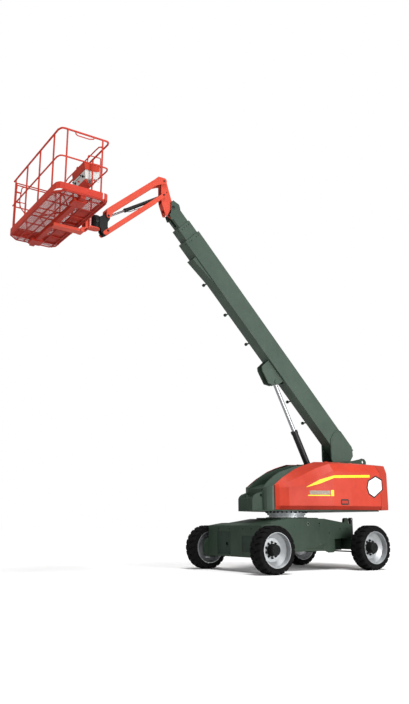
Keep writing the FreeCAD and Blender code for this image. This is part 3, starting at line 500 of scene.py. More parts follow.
def bar(
    name: str, start: Place, stop: Place, radius: float, sides: int = 24, edge: float = 0.002
) -> Piece:
    """Round bar with bevelled ends between two points.

    Args:
        name: the piece's name.
        start: centre of one end.
        stop: centre of the other end.
        radius: bar radius.
        sides: facets round it.
        edge: bevel width at the ends.
    Returns:
        The piece.
    """
    unselect()
    a, b = Vector(start), Vector(stop)
    turn = (b - a).to_track_quat("Z", "Y").to_euler()
    bpy.ops.mesh.primitive_cylinder_add(
        vertices=sides, radius=radius, depth=(b - a).length, location=(a + b) / 2, rotation=turn
    )
    return bevelled(settle(name), edge)


def stub(
    name: str, foot: Place, way: Place, radius: float, sides: int = 24, edge: float = 0.002
) -> Piece:
    """Round bar that stands on its foot's centre and reaches along way."""
    return bar(name, foot, Vector(foot) + Vector(way), radius, sides, edge)


def tube(name: str, points: Sequence[Place], radius: float, smooth: bool = True) -> Piece:
    """Bent round tube through points.

    Args:
        name: the piece's name.
        points: the line's points.
        radius: tube radius.
        smooth: rounds the corners, else keeps them sharp.
    Returns:
        The piece.
    """
    unselect()
    bpy.ops.curve.primitive_nurbs_path_add()
    line = bpy.context.object.data
    line.splines.clear()
    run = line.splines.new("NURBS" if smooth else "POLY")
    run.points.add(len(points) - 1)
    for spot, place in zip(run.points, points):
        spot.co = (*place, 1.0)
    if smooth:
        run.order_u = 3
        run.use_endpoint_u = True
    line.resolution_u = 6
    line.bevel_depth = radius
    line.bevel_resolution = 3
    line.use_fill_caps = True
    bpy.ops.object.convert(target="MESH")
    return bevelled(settle(name), 0.0)


def ringed(outline: Sequence[Place], fill: str) -> Piece:
    """Starts a mesh as a circle and moves its corners to an outline.

    Args:
        outline: the corners in order.
        fill: how the circle is filled.
    Returns:
        The active object.
    """
    unselect()
    bpy.ops.mesh.primitive_circle_add(vertices=len(outline), fill_type=fill)
    made = bpy.context.object
    for corner, place in zip(made.data.vertices, outline):
        corner.co = place
    return made


def plate(name: str, outline: Sequence[Point], push: Point, edge: float = 0.0015) -> Piece:
    """Flat sheet of any outline, extruded once.

    Args:
        name: the piece's name.
        outline: corners in order, in one plane.
        push: the extrusion.
        edge: bevel width.
    Returns:
        The piece.
    """
    ringed(outline, "NGON")
    edit_all()
    bpy.ops.mesh.extrude_region_move(TRANSFORM_OT_translate={"value": push})
    face_out()
    return bevelled(settle(name), edge, segments=1)


def turned(
    name: str, profile: Sequence[Flat], centre: Point, axis: Point, steps: int = 64
) -> Piece:
    """Closed ring profile spun about an axis through centre.

    Args:
        name: the piece's name.
        profile: (radius, along) points of a closed section.
        centre: a point of the axis, where along is zero.
        axis: the axis's direction.
        steps: facets round it.
    Returns:
        The piece.
    """
    line = Vector(axis).normalized()
    out = line.orthogonal().normalized()
    ringed([Vector(centre) + out * radius + line * along for radius, along in profile], "NOTHING")
    edit_all()
    bpy.ops.mesh.spin(steps=steps, angle=FULL_TURN, center=centre, axis=line)
    bpy.ops.mesh.select_all(action="SELECT")
    bpy.ops.mesh.remove_doubles(threshold=0.00005)
    face_out()
    return bevelled(settle(name), 0.0, angle=28.0)


def section(inner: float, outer: float, low: float, high: float) -> list[Flat]:
    """Square section of a ring, for turned()."""
    return [(inner, low), (outer, low), (outer, high), (inner, high)]


def joined(name: str, pieces: Sequence[Piece]) -> Piece:
    """Several objects as one piece.

    Args:
        name: the piece's name.
        pieces: the objects, used up.
    Returns:
        The joined piece.
    """
    unselect()
    for piece in pieces:
        piece.select_set(True)
    bpy.context.view_layer.objects.active = pieces[0]
    if len(pieces) > 1:
        bpy.ops.object.join()
    made = bpy.context.object
    made.name = name
    unselect()
    return made


def repeated(name: str, pattern: Piece, places: Iterable[Matrix]) -> Piece:
    """Copies of a pattern, each with its own mesh, as one piece.

    Args:
        name: the piece's name.
        pattern: the model, used up.
        places: where each copy goes.
    Returns:
        The joined piece.
    """
    copies = []
    for place in places:
        twin = pattern.copy()
        twin.data = pattern.data.copy()
        twin.data.transform(place)
        bpy.context.collection.objects.link(twin)
        copies.append(twin)
    bpy.data.objects.remove(pattern)
    return joined(name, copies)


def around(count: int, start: float = 0.0) -> list[float]:
    """Angles evenly spaced over a full turn."""
    return [start + i * FULL_TURN / count for i in range(count)]


def aimed(place: Point, direction: Point, turn: float = 0.0) -> Matrix:
    """Matrix that puts +Z along a direction at a place."""
    spin = Vector(direction).to_track_quat("Z", "Y").to_matrix().to_4x4()
    return Matrix.Translation(place) @ spin @ Matrix.Rotation(turn, 4, "Z")


def bolts(
    name: str,
    places: Iterable[tuple[Point, Point]],
    radius: float = 0.011,
    height: float = 0.009,
) -> Piece:
    """Hexagon heads on washers, each turned a little further.

    Args:
        name: the piece's name.
        places: (place, direction) pairs.
        radius: the head's corner radius.
        height: the head's height.
    Returns:
        The joined piece.
    """
    head = bar("head", (0, 0, 0.001), (0, 0, height), radius, 6, radius * 0.12)
    washer = bar("washer", (0, 0, -0.002), (0, 0, 0.002), radius * 1.3, 12, 0.0006)
    pattern = joined("bolt", [head, washer])
    return repeated(name, pattern, [aimed(p, d, i * 0.7) for i, (p, d) in enumerate(places)])


def done(piece: Piece, finish: Finish, body: str) -> None:
    """Dresses a piece and hangs it on its body.

    Args:
        piece: the piece.
        finish: its finish.
        body: the CAD body that it rides on.
    """
    piece.data.materials.clear()
    piece.data.materials.append(finish.build())
    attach(piece, body)
    LOG.info("%s: %d faces on %s", piece.name, len(piece.data.polygons), body)


def boom_pt(u: float, y: float, v: float) -> Point:
    """World point of a point of the parked boom's own frame."""
    c, s = math.cos(BOOM_SLOPE), math.sin(BOOM_SLOPE)
    return (PIVOT[0] + u * c - v * s, y, PIVOT[1] + u * s + v * c)


# ---- wheels --------------------------------------------------------------
@dataclass
class Wheel:
    """One tyre with tread, hub and wheel nuts.

    Profiles are (radius, out from mid tyre) points. lug_ sizes give a lug from mid tyre
    outwards, and edge_ sizes how it falls away and deepens past the tyre's edge.
    """

    end: End
    side: Side
    lugs: int = 22
    lug_top: float = 0.4345
    lug_start: float = -0.012
    lug_run: float = 0.164
    lug_width: float = 0.078
    lug_flare: float = 0.01
    lug_slant: float = 0.045
    lug_depth: float = 0.024
    edge_start: float = 0.108
    edge_run: float = 0.044
    edge_drop: float = 0.024
    edge_depth: float = 0.02
    hub_bolts: int = 8
    hub_circle: float = 0.076
    hub_face: float = 0.114
    nuts: int = 10
    nut_circle: float = 0.138
    nut_face: float = -0.0195
    nut_r: float = 0.0185
    skirt_r: float = 0.024
    stud_r: float = 0.009
    valve_turn: float = 0.5
    valve_line: tuple[Flat, ...] = ((0.285, 0.03), (0.27, 0.05), (0.262, 0.075))
    crown: Flat = (0.418, 0.0)
    shoulder: tuple[Flat, ...] = (
        (0.3205, 0.132), (0.3395, 0.1425), (0.3395, 0.1505), (0.316, 0.1505),
        (0.318, 0.1525), (0.346, 0.1535), (0.356, 0.147), (0.375, 0.149),
        (0.392, 0.145), (0.406, 0.136), (0.415, 0.1),
    )
    cover: tuple[Flat, ...] = (
        (0.0, 0.06), (0.0, 0.1145), (0.03, 0.1145), (0.034, 0.119), (0.052, 0.119),
        (0.056, 0.1145), (0.093, 0.1145), (0.1015, 0.106), (0.1015, 0.09), (0.1015, 0.03),
        (0.106, 0.024), (0.106, -0.004), (0.114, -0.012), (0.114, -0.0205), (0.0, -0.0205),
    )

    @property
    def tag(self) -> str:
        """The wheel's name."""
        return f"{self.end.word}_{self.side.word}"

    @property
    def body(self) -> str:
        """The CAD body that turns with the wheel."""
        return f"wheel_{self.tag}"

    def at(self, radius: float, turn: float, out: float) -> Point:
        """A point by radius and angle about the axle, out from mid tyre."""
        x = self.end.value * AXLE_X + radius * math.sin(turn)
        return (x, self.side.value * (WHEEL_Y + out), WHEEL_R + radius * math.cos(turn))

    def tyre(self) -> None:
        """Carcass with bead, sidewall ribs and chunky lugs."""
        profile = [(radius, -out) for radius, out in self.shoulder]
        profile += [self.crown, *reversed(self.shoulder)]
        centre = self.at(0.0, 0.0, 0.0)
        parts = [turned("carcass", profile, centre, LEFTWARD, 72)]
        half_step = FULL_TURN / self.lugs / 2
        for hand, start in ((-1, half_step), (1, 0.0)):
            places = [
                Matrix.Translation(centre) @ Matrix.Rotation(turn, 4, "Y")
                for turn in around(self.lugs, start)
            ]
            parts.append(repeated("lugs", self.lug(hand), places))
        tyre = joined(f"tread_{self.tag}", parts)
        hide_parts(f"tyre_{self.tag}")
        done(tyre, RUBBER, self.body)

    def lug(self, hand: int) -> Piece:
        """One lug at the top of a wheel at the origin.

        Args:
            hand: which half of the tread.
        Returns:
            The lug.
        """
        unselect()
        bpy.ops.mesh.primitive_cube_add(size=1.0)
        made = bpy.context.object
        edit_all()
        bpy.ops.mesh.subdivide(number_cuts=3)
        bpy.ops.object.mode_set(mode="OBJECT")
        unselect()
        for corner in made.data.vertices:
            along = corner.co.y + 0.5
            across = self.lug_start + along * self.lug_run
            width = self.lug_width + self.lug_flare * along
            past = max(0.0, across - self.edge_start) / self.edge_run
            depth = self.lug_depth + self.edge_depth * past
            radius = self.lug_top - self.edge_drop * past * past - (0.5 - corner.co.z) * depth
            slant = self.lug_slant * (1.0 - along)
            angle = (corner.co.x * width + slant) / WHEEL_R
            corner.co = (radius * math.sin(angle), hand * across, radius * math.cos(angle))
        if hand < 0:
            made.data.flip_normals()
        return bevelled(made, 0.0035, 1, 40.0)

    def hub(self) -> None:
        """Hub cover, nuts and valve on the wheel disc."""
        out = self.side.out
        cover = turned(f"hub_{self.tag}", self.cover, self.at(0.0, 0.0, 0.0), out, 48)
        done(cover, SEAL, self.body)
        turns = around(self.hub_bolts, 0.2)
        places = [(self.at(self.hub_circle, a, self.hub_face), out) for a in turns]
        done(bolts(f"hub_bolts_{self.tag}", places, 0.008, 0.006), DARK_BOLT, self.body)
        nut = bar("nut", (0, 0, 0), (0, 0, 0.026), self.nut_r, 6, 0.003)
        skirt = bar("skirt", (0, 0, -0.002), (0, 0, 0.005), self.skirt_r, 16, 0.001)
        stud = bar("stud", (0, 0, 0.02), (0, 0, 0.042), self.stud_r, 10, 0.001)
        pattern = joined("nut", [nut, skirt, stud])
        circle, face = self.nut_circle, self.nut_face
        spots = [aimed(self.at(circle, a, face), out, a) for a in around(self.nuts)]
        done(repeated(f"wheel_nuts_{self.tag}", pattern, spots), DARK_BOLT, self.body)
        stem = [self.at(radius, self.valve_turn, y) for radius, y in self.valve_line]
        done(tube(f"valve_{self.tag}", stem, 0.0045), BLACK_ABS, self.body)

    def build(self) -> None:
        """Makes the whole wheel."""
        self.tyre()
        self.hub()


# ---- chassis -------------------------------------------------------------
@dataclass
class Chassis:
    """Bolts, covers and pipes of the carrier.

    Places are (x, z) on its sides and (y, z) on its ends.
    """

    side_y: float = 0.62
    ring_bolts: int = 28
    ring_r: float = 0.375
    table_r: float = 0.418
    upper_z: float = 1.0755
    table_z: float = 1.1445
    lower_z: float = 1.021
    kingpin_z: tuple[float, ...] = (0.286, 0.6)
    kingpin_r: float = 0.045
    pad: tuple[Flat, Flat] = ((-0.46, 0.47), (-0.3, 0.52))
    lip: tuple[Flat, Flat] = ((-0.42, 0.43), (0.02, 0.444))
    plug_at: Flat = (0.3, 0.86)
    port_at: Flat = (-0.03, 0.9)
    end_face: float = 1.3505
    end_bolts: tuple[Flat, ...] = ((-0.52, 0.33), (-0.15, 0.33), (0.3, 0.34), (0.56, 0.34))
    end_bolt_top: float = 0.81
    ring_at: Point = (1.344, -0.235, 0.52)
    cap_bolt_r: float = 0.03
    cap_bolt_z: float = 0.612
    cylinder_x: float = -1.302
    cylinder_pins: tuple[Flat, ...] = ((0.56, 0.99), (0.554, 0.59))
    web_x: tuple[float, ...] = (-1.3, -1.216)
    web_thick: float = 0.012
    recess_face: Flat = (1.3438, 1.3446)
    recesses: tuple[tuple[float, float, float, float], ...] = (
        (-0.56, -0.278, 0.325, 0.755),
        (-0.192, -0.115, 0.325, 0.755),
        (-0.278, -0.192, 0.325, 0.475),
        (-0.278, -0.192, 0.565, 0.755),
        (0.267, 0.605, 0.38, 0.675),
    )
    side_spots: tuple[Flat, ...] = (
        (-0.33, 0.86), (0.62, 0.8), (0.62, 0.62), (0.9, 0.82), (-0.6, 0.72), (-0.9, 0.8),
        (-1.1, 0.8),
    )
    web: tuple[Flat, ...] = ((0.24, 0.46), (0.735, 0.46), (0.735, 0.6), (0.62, 0.66), (0.34, 0.66))
    pipe: tuple[Point, ...] = (
        (-1.302, 0.46, 0.9), (-1.262, 0.4, 0.9), (-1.23, 0.34, 0.86),
        (-1.2, 0.2, 0.8), (-1.19, 0.1, 0.7), (-1.185, 0.06, 0.62),
    )

    def slew_bolts(self) -> None:
        """Bolts round the slewing ring, above and below."""
        r, t = self.ring_r, self.table_r
        turns = [(math.cos(a), math.sin(a)) for a in around(self.ring_bolts)]
        high = [((r * c, r * s, self.upper_z), DOWN) for c, s in turns]
        hung = [((t * c, t * s, self.table_z), DOWN) for c, s in turns]
        low = [(((r + 0.035) * c, (r + 0.02) * s, self.lower_z), UP) for c, s in turns]
        done(bolts("slew_bolts_upper", high, 0.012, 0.003), BOLT, "turntable")
        done(bolts("table_bolts", hung, 0.017, 0.03), DARK_BOLT, "turntable")
        done(bolts("slew_bolts_lower", low, 0.012, 0.014), BOLT, "chassis")

    def seal(self) -> None:
        """Grease band between the two slewing rings."""
        band = turned("slew_seal", section(0.352, 0.366, 1.07, 1.0765), (0, 0, 0), UP, 72)
        done(band, SEAL, "chassis")

    def sides(self) -> None:
        """Pads, lips, plugs, ports and bolts on the carrier's sides."""
        for side in Side:
            s, out, y = side.value, side.out, side.value * self.side_y
            parts = []
            for name, corners, thick in (("pad", self.pad, 0.006), ("lip", self.lip, 0.012)):
                (xa, za), (xb, zb) = corners
                parts.append(box(name, (xa, y, za), (xb, y + s * thick, zb), 0.002))
            x, z = self.plug_at
            parts.append(stub("plug", (x, y, z), (0, s * 0.008, 0), 0.02))
            done(joined(f"side_fittings_{side.word}", parts), FRAME_GREEN, "chassis")
            x, z = self.port_at
            rim = section(0.024, 0.03, 0.0, 0.006)
            done(turned(f"side_port_{side.word}", rim, (x, y, z), out, 24), BOLT, "chassis")
            spots = [((x, y, z), out) for x, z in self.side_spots]
            done(bolts(f"side_bolts_{side.word}", spots), DARK_BOLT, "chassis")

    def drive_end(self) -> None:
        """Bolts, painted-shade plates on the recess floors and the tie-down ring of the drive end.
        """
        spots = []
        for y, low in self.end_bolts:
            spots += [((self.end_face, y, z), AHEAD) for z in (self.end_bolt_top, low)]
        done(bolts("end_bolts", spots), DARK_BOLT, "chassis")
        # thin plates on the recess floors, darker than the frame coat: painted shade
        xa, xb = self.recess_face
        floors = [
            box("recess", (xa, y0, z0), (xb, y1, z1), 0.0002) for y0, y1, z0, z1 in self.recesses
        ]
        done(joined("recess_shade_floors", floors), RECESS_SHADE_GREEN, "chassis")
        rim = section(0.0405, 0.052, 0.0, 0.005)
        done(turned("tie_down_ring", rim, self.ring_at, AHEAD, 32), FRAME_GREEN, "chassis")

    def steering(self) -> None:
        """Kingpin caps, webs, bolts and pipes of the steer axle."""
        caps, webs, spots, runs, joints = [], [], [], [], []
        for s in (side.value for side in Side):
            for z in self.kingpin_z:
                foot = (-AXLE_X, s * KINGPIN_Y, z)
                caps.append(stub("cap", foot, (0, 0, 0.012), self.kingpin_r))
            for x in self.web_x:
                corners = [(x, s * y, z) for y, z in self.web]
                webs.append(plate("web", corners, (self.web_thick, 0, 0)))
            for a in around(4, 0.6):
                x = self.cap_bolt_r * math.cos(a) - AXLE_X
                y = self.cap_bolt_r * math.sin(a) + s * KINGPIN_Y
                spots.append(((x, y, self.cap_bolt_z), UP))
            runs.append([(x, s * y, z) for x, y, z in self.pipe])
            for y, z in self.cylinder_pins:
                joints.append(((self.cylinder_x, s * y, z), (0, s, 0)))
        done(joined("kingpin_caps", caps), FRAME_GREEN, "chassis")
        done(joined("axle_webs", webs), FRAME_GREEN, "chassis")
        done(bolts("kingpin_bolts", spots, 0.007, 0.006), DARK_BOLT, "chassis")
        pipes = [tube("pipe", run, 0.008) for run in runs]
        done(joined("oscillation_pipes", pipes), BLACK_ABS, "chassis")
        done(bolts("oscillation_bolts", joints, 0.016, 0.012), BOLT, "chassis")

    def build(self) -> None:
        """Makes every carrier fitting."""
        self.slew_bolts()
        self.seal()
        self.sides()
        self.drive_end()
        self.steering()


# ---- turntable -----------------------------------------------------------
@dataclass
class Turntable:
    """Stripes, latches, sign plates and engine bay of the upper carriage.

    Lines on a hood are (x, z) points from front to rear, and side_line is (x, y).
    """

    side_line: tuple[Flat, ...] = (
        (0.6, 0.52), (0.44, 0.628), (0.135, 0.764), (-0.109, 0.879), (-0.401, 1.012),
        (-0.85, 1.05), (-1.645, 1.097), (-2.15, 1.098),
    )
    stripe_low: tuple[Flat, ...] = ((0.11, 1.608), (-0.145, 1.683), (-0.42, 1.797), (-1.36, 1.834))
    stripe_top: tuple[Flat, ...] = ((0.11, 1.618), (-0.145, 1.762), (-0.42, 1.848), (-1.36, 1.884))
    stripe_thick: float = 0.0012
    labels: tuple[tuple[str, Flat, Flat, float, Finish], ...] = (
        ("label", (0.055, -0.33), (1.468, 1.545), 0.0014, NAME_PLATE),
        ("label_end", (-0.345, -0.4), (1.438, 1.556), 0.0016, YELLOW_FILM),
        ("label_line", (0.088, -0.33), (1.44, 1.46), 0.0016, YELLOW_FILM),
    )
    lip: tuple[Flat, Flat] = ((0.58, -1.63), (1.178, 1.246))
    lip_tuck: float = 0.0427
    latch_z: float = 1.325
    paddle: tuple[Flat, Flat] = ((-0.588, -0.747), (1.297, 1.353))
    latch_half: tuple[Flat, ...] = (
        (-0.565, 0.04), (-0.585, 0.057), (-0.75, 0.057), (-0.77, 0.04),
    )
    sign_at: Flat = (-1.475, 1.645)
    sign: tuple[Flat, ...] = (
        (0.215, -0.02), (0.165, 0.13), (-0.05, 0.232), (-0.235, 0.155), (-0.235, -0.06),
        (0.02, -0.232), (0.165, -0.16),
    )
    deck_rim: tuple[Flat, ...] = ((0.63, 0.455), (0.42, 0.58), (-0.38, 0.935), (-1.62, 1.012))
    deck_rim_z: float = 1.1725
    tail_r: float = 2.15
    tail_bolt_y: tuple[float, ...] = (-0.8, -0.45, 0.45, 0.8)
    tail_bolt_z: float = 1.36
    keepers: tuple[tuple[Flat, float], ...] = ((PIVOT, 0.253), (LIFT_PIN, 0.247))
    ribs: int = 9
    rib_x: float = -1.38
    rib_step: float = 0.115
    caps_x: tuple[float, ...] = (-1.2, -0.75)

    def side_y(self, x: float) -> float:
        """The hood side's distance from the middle.

        Args:
            x: place along the machine.
        Returns:
            The distance there.
        """
        line = self.side_line
        for (xa, ya), (xb, yb) in zip(line, line[1:]):
            if xb <= x <= xa:
                return ya + (yb - ya) * (x - xa) / (xb - xa)
        return line[-1][1]

    def split(self, line: Sequence[Flat]) -> list[Flat]:
        """A line with a point added wherever the hood side bends.

        Args:
            line: (x, z) points from front to rear.
        Returns:
            The line with its added points.
        """
        bends = {x for x, _ in self.side_line if line[-1][0] < x < line[0][0]}
        out = []
        for x in sorted(bends | {x for x, _ in line}, reverse=True):
            for (xa, za), (xb, zb) in zip(line, line[1:]):
                if xb <= x <= xa:
                    out.append((x, za + (zb - za) * (x - xa) / (xb - xa)))
                    break
        return out

    def band(
        self,
        name: str,
        side: Side,
        low: Sequence[Flat],
        top: Sequence[Flat],
        thick: float,
        tuck: float = 0.0,
    ) -> Piece:
        """Thin film that follows the hood side between two lines.

        Args:
            name: the piece's name, without the side.
            side: which hood.
            low: lower line.
            top: upper line with points at the same x.
            thick: film thickness.
            tuck: how far the lower line lies further in.
        Returns:
            The film.
        """
        rows = (self.split(low), thick - tuck), (self.split(top), thick)
        columns = len(rows[0][0])
        unselect()
        bpy.ops.mesh.primitive_grid_add(x_subdivisions=columns - 1, y_subdivisions=1, size=1.0)
        corners = bpy.context.object.data.vertices
        order = iter(sorted(corners, key=lambda v: (round(v.co.y, 4), v.co.x)))
        for line, out in rows:
            for x, z in line:
                next(order).co = (x, side.value * (self.side_y(x) + out), z)
        made = settle(f"{name}_{side.word}")
        shaped(made, "SOLIDIFY", thickness=thick * 0.9, offset=0.0)
        edit_all()
        face_out()
        unselect()
        return made

    def film(
        self,
        name: str,
        side: Side,
        ends: Flat,
        heights: Flat,
        thick: float,
        tuck: float = 0.0,
    ) -> Piece:
        """Level band on a hood between a front and a rear x and two heights."""
        low, top = ([(x, z) for x in ends] for z in heights)
        return self.band(name, side, low, top, thick, tuck)

    def stripes(self) -> None:
        """Yellow side stripes and the blank label plates."""
        for side in Side:
            hood = f"hood_{side.word}"
            thick = self.stripe_thick
            stripe = self.band("stripe", side, self.stripe_low, self.stripe_top, thick)
            done(stripe, YELLOW_FILM, hood)
            for name, ends, heights, thick, finish in self.labels:
                done(self.film(name, side, ends, heights, thick), finish, hood)

    def lips(self) -> None:
        """Painted shade: darker strips along the tucked lower edge of the hoods."""
        for side in Side:
            lip = self.film("hood_lip", side, *self.lip, self.stripe_thick, self.lip_tuck)
            done(lip, LIP_SHADE_RED, f"hood_{side.word}")

    def latches(self) -> None:
        """Sunk hood latch with its paddle, and the blank sign plate."""
        for side in Side:
            hood = f"hood_{side.word}"
            low, top = ([(x, self.latch_z + d * h) for x, h in self.latch_half] for d in (-1, 1))
            done(self.band("latch_frame", side, low, top, 0.0016), BLACK_ABS, hood)
            paddle = self.film("latch_paddle", side, *self.paddle, 0.0045)
            done(paddle, DARK_RED, hood)
            for name, grow, lift, finish in (
                ("sign_rim", 1.0, 0.0008, BLACK_ABS),
                ("sign_plate", 0.86, 0.0026, PALE_PLATE),
            ):
                outline = []
                for dx, dz in self.sign:
                    x = self.sign_at[0] + dx * grow
                    y = side.value * (self.side_y(x) + lift)
                    outline.append((x, y, self.sign_at[1] + dz * grow))
                push = (0.0, side.value * 0.0022, 0.0)
                sign = plate(f"{name}_{side.word}", outline, push, 0.0006)
                done(sign, finish, hood)

    def seals(self) -> None:
        """Rubber strips along the deck's rim."""
        for side in Side:
            line = [(x, side.value * y, self.deck_rim_z) for x, y in self.deck_rim]
            rim = tube(f"deck_seal_{side.word}", line, 0.0045, smooth=False)
            done(rim, SEAL, "turntable")

    def tail(self) -> None:
        """Red reflectors and the bolts of the weight."""
        for side in Side:
            s = side.value
            ends = (-1.93, s * 0.93, 1.45), (-1.945, s * 0.937, 1.45)
            lens = bar(f"reflector_{side.word}", *ends, 0.035, 28, 0.004)
            done(lens, KNOB_RED, "turntable")
        spots = []
        for y in self.tail_bolt_y:
            x = -math.sqrt(self.tail_r**2 - y * y)
            spots.append(((x + 0.002, y, self.tail_bolt_z), (x, y, 0)))
        done(bolts("weight_bolts", spots, 0.026, 0.018), BOLT, "turntable")

    def pins(self) -> None:
        """Retainer plates on the boom pin and the lift cylinder pin."""
        spots, parts = [], []
        for side in Side:
            s = side.value
            for (x, z), out in self.keepers:
                ya, yb = s * out, s * (out + 0.008)
                low, high = (x - 0.03, ya, z - 0.014), (x + 0.085, yb, z + 0.014)
                parts.append(box("keeper", low, high, 0.002))
                spots.append(((x + 0.07, yb, z), side.out))
        done(joined("pin_keepers", parts), ZINC, "turntable")
        done(bolts("pin_bolts", spots), DARK_BOLT, "turntable")

    def engine_bay(self) -> None:
        """Engine ribs, air filter, silencer and filler caps under the hoods."""
        parts = []
        for i in range(self.ribs):
            x = self.rib_x + i * self.rib_step
            parts.append(box("rib", (x, -0.845, 1.25), (x + 0.045, -0.8285, 1.7), 0.004))
            parts.append(box("top_rib", (x, -0.78, 1.779), (x + 0.04, -0.34, 1.795), 0.004))
        done(joined("engine_ribs", parts), ENGINE_GREY, "turntable")
        parts = [
            bar("can", (-0.62, -0.55, 1.87), (-0.34, -0.55, 1.87), 0.075, 32, 0.01),
            box("foot", (-0.56, -0.6, 1.775), (-0.4, -0.5, 1.81), 0.004),
        ]
        done(joined("air_filter", parts), BLACK_ABS, "turntable")
        parts = [
            bar("pot", (-1.36, -0.56, 1.86), (-0.86, -0.56, 1.86), 0.065, 32, 0.012),
            bar("outlet", (-1.36, -0.56, 1.86), (-1.45, -0.56, 1.86), 0.024),
            box("foot", (-1.2, -0.6, 1.775), (-1.0, -0.52, 1.81), 0.004),
        ]
        done(joined("silencer", parts), ZINC, "turntable")
        lid = box("tank_lid", (-1.455, 0.286, 1.7), (-0.495, 0.824, 1.712), 0.004)
        done(lid, ENGINE_GREY, "turntable")
        caps = [stub("cap", (x, 0.7, 1.71), (0, 0, 0.035), 0.038, 24, 0.005) for x in self.caps_x]
        done(joined("filler_caps", caps), BLACK_ABS, "turntable")

    def build(self) -> None:
        """Makes every fitting of the upper carriage."""
        self.stripes()
        self.lips()
        self.latches()
        self.seals()
        self.tail()
        self.pins()
        self.engine_bay()


# ---- boom ----------------------------------------------------------------
@dataclass(frozen=True)
class Mouth:
    """The open end of a boom section, by its outside faces in the boom's own frame."""

    section: str
    end: float
    half: float
    low: float
    top: float


@dataclass
class Boom:
    """Slide pads, pad bolts, pipes, pegs and foot rings of the boom."""

    mouths: tuple[Mouth, ...] = (
        Mouth("base", 6.04, 0.135, 0.152, 0.592),
        Mouth("mid", 6.335, 0.115, 0.208, 0.56),
    )
    wall: float = 0.008
    gap: float = 0.0118
    pegs: tuple[float, ...] = (1.25, 1.86, 3.47, 4.26, 5.05)
    bolt_back: float = 0.06
    pipe_r: float = 0.0095
    pipe_levels: Flat = (0.208, 0.232)
    boss_y: float = 0.157
    boss: tuple[Flat, ...] = (
        (0.075, 0.0), (0.105, 0.0), (0.105, 0.008), (0.1, 0.012), (0.075, 0.012),
    )
    bead: tuple[Flat, ...] = ((0.55, 0.18), (0.62, 0.24), (0.695, 0.38), (0.69, 0.5), (0.62, 0.585))

    def pad_bolts(self) -> None:
        """Bolts of the pad keepers round the mouth of each outer section."""
        for mouth in self.mouths:
            u, half, low, top = mouth.end - self.bolt_back, mouth.half, mouth.low, mouth.top
            spots = []
            for s in (-1, 1):
                for v in (low + 0.07, low + 0.14, top - 0.14, top - 0.07):
                    spots.append((boom_pt(u, s * half, v), (0, s, 0)))
            for y in (-half * 0.55, half * 0.55):
                spots.append((boom_pt(u, y, top), BOOM_UP))
                spots.append((boom_pt(u, y, low), BOOM_DOWN))
            name = f"{mouth.section}_pad_bolts"
            done(bolts(name, spots, 0.009, 0.006), DARK_BOLT, f"boom_{mouth.section}")

    def wear_strips(self) -> None:
        """Plastic slide pads in the gaps between the sections."""
        for mouth in self.mouths:
            half = mouth.half - self.wall
            parts = []
            for s in (-1, 1):
                for v in (mouth.low + self.wall + 0.05, mouth.top - self.wall - 0.15):
                    slab = [
                        boom_pt(mouth.end + du, s * (half - 0.0005), v + dv)
                        for du, dv in ((-0.09, 0.0), (0.002, 0.0), (0.002, 0.1), (-0.09, 0.1))
                    ]
                    parts.append(plate("pad", slab, (0, -s * (self.gap - 0.001), 0), 0.0))
            done(joined(f"{mouth.section}_pads", parts), BLACK_ABS, f"boom_{mouth.section}")

    def pipes(self) -> None:
        """Rigid pipes laid on the pegs of the far side."""
        runs = []
        for i, v in enumerate(self.pipe_levels):
            y = -0.16 - 0.03 * i
            line = [boom_pt(0.75, -0.146, 0.3 + 0.03 * i), boom_pt(0.95, y, 0.28 + 0.02 * i)]
            line.append(boom_pt(1.12, y, v + 0.002))
            line += [boom_pt(u, y, v - 0.0005) for u in (2.4, 3.8, 5.1)]
            line += [boom_pt(5.25, y, v + 0.002), boom_pt(5.4, -0.146, v + 0.05)]
            runs.append(tube("pipe", line, self.pipe_r))
        done(joined("boom_pipes", runs), BLACK_ENAMEL, "boom_base")
        for name, part, v, ya, yb, radius, sides, edge, finish in (
            ("pipe_clips", "clip", 0.222, -0.139, -0.212, 0.005, 10, 0.001, DARK_BOLT),
            ("peg_caps", "cap", 0.182, -0.25, -0.2895, 0.034, 24, 0.006, FRAME_GREEN),
        ):
            parts = [
                bar(part, boom_pt(u, ya, v), boom_pt(u, yb, v), radius, sides, edge)
                for u in self.pegs
            ]
            done(joined(name, parts), finish, "boom_base")

    def foot_rings(self) -> None:
        """Boss rings and weld beads of the boom's foot."""
        parts = []
        for side in Side:
            y = side.value * self.boss_y
            parts.append(turned("ring", self.boss, (PIVOT[0], y, PIVOT[1]), side.out, 40))
            y = side.value * (self.boss_y + 0.001)
            parts.append(tube("bead", [boom_pt(u, y, v) for u, v in self.bead], 0.005))
        done(joined("foot_rings", parts), BOOM_GREEN, "boom_base")

    def build(self) -> None:
        """Makes every boom fitting."""
        self.pad_bolts()
        self.wear_strips()
        self.pipes()
        self.foot_rings()


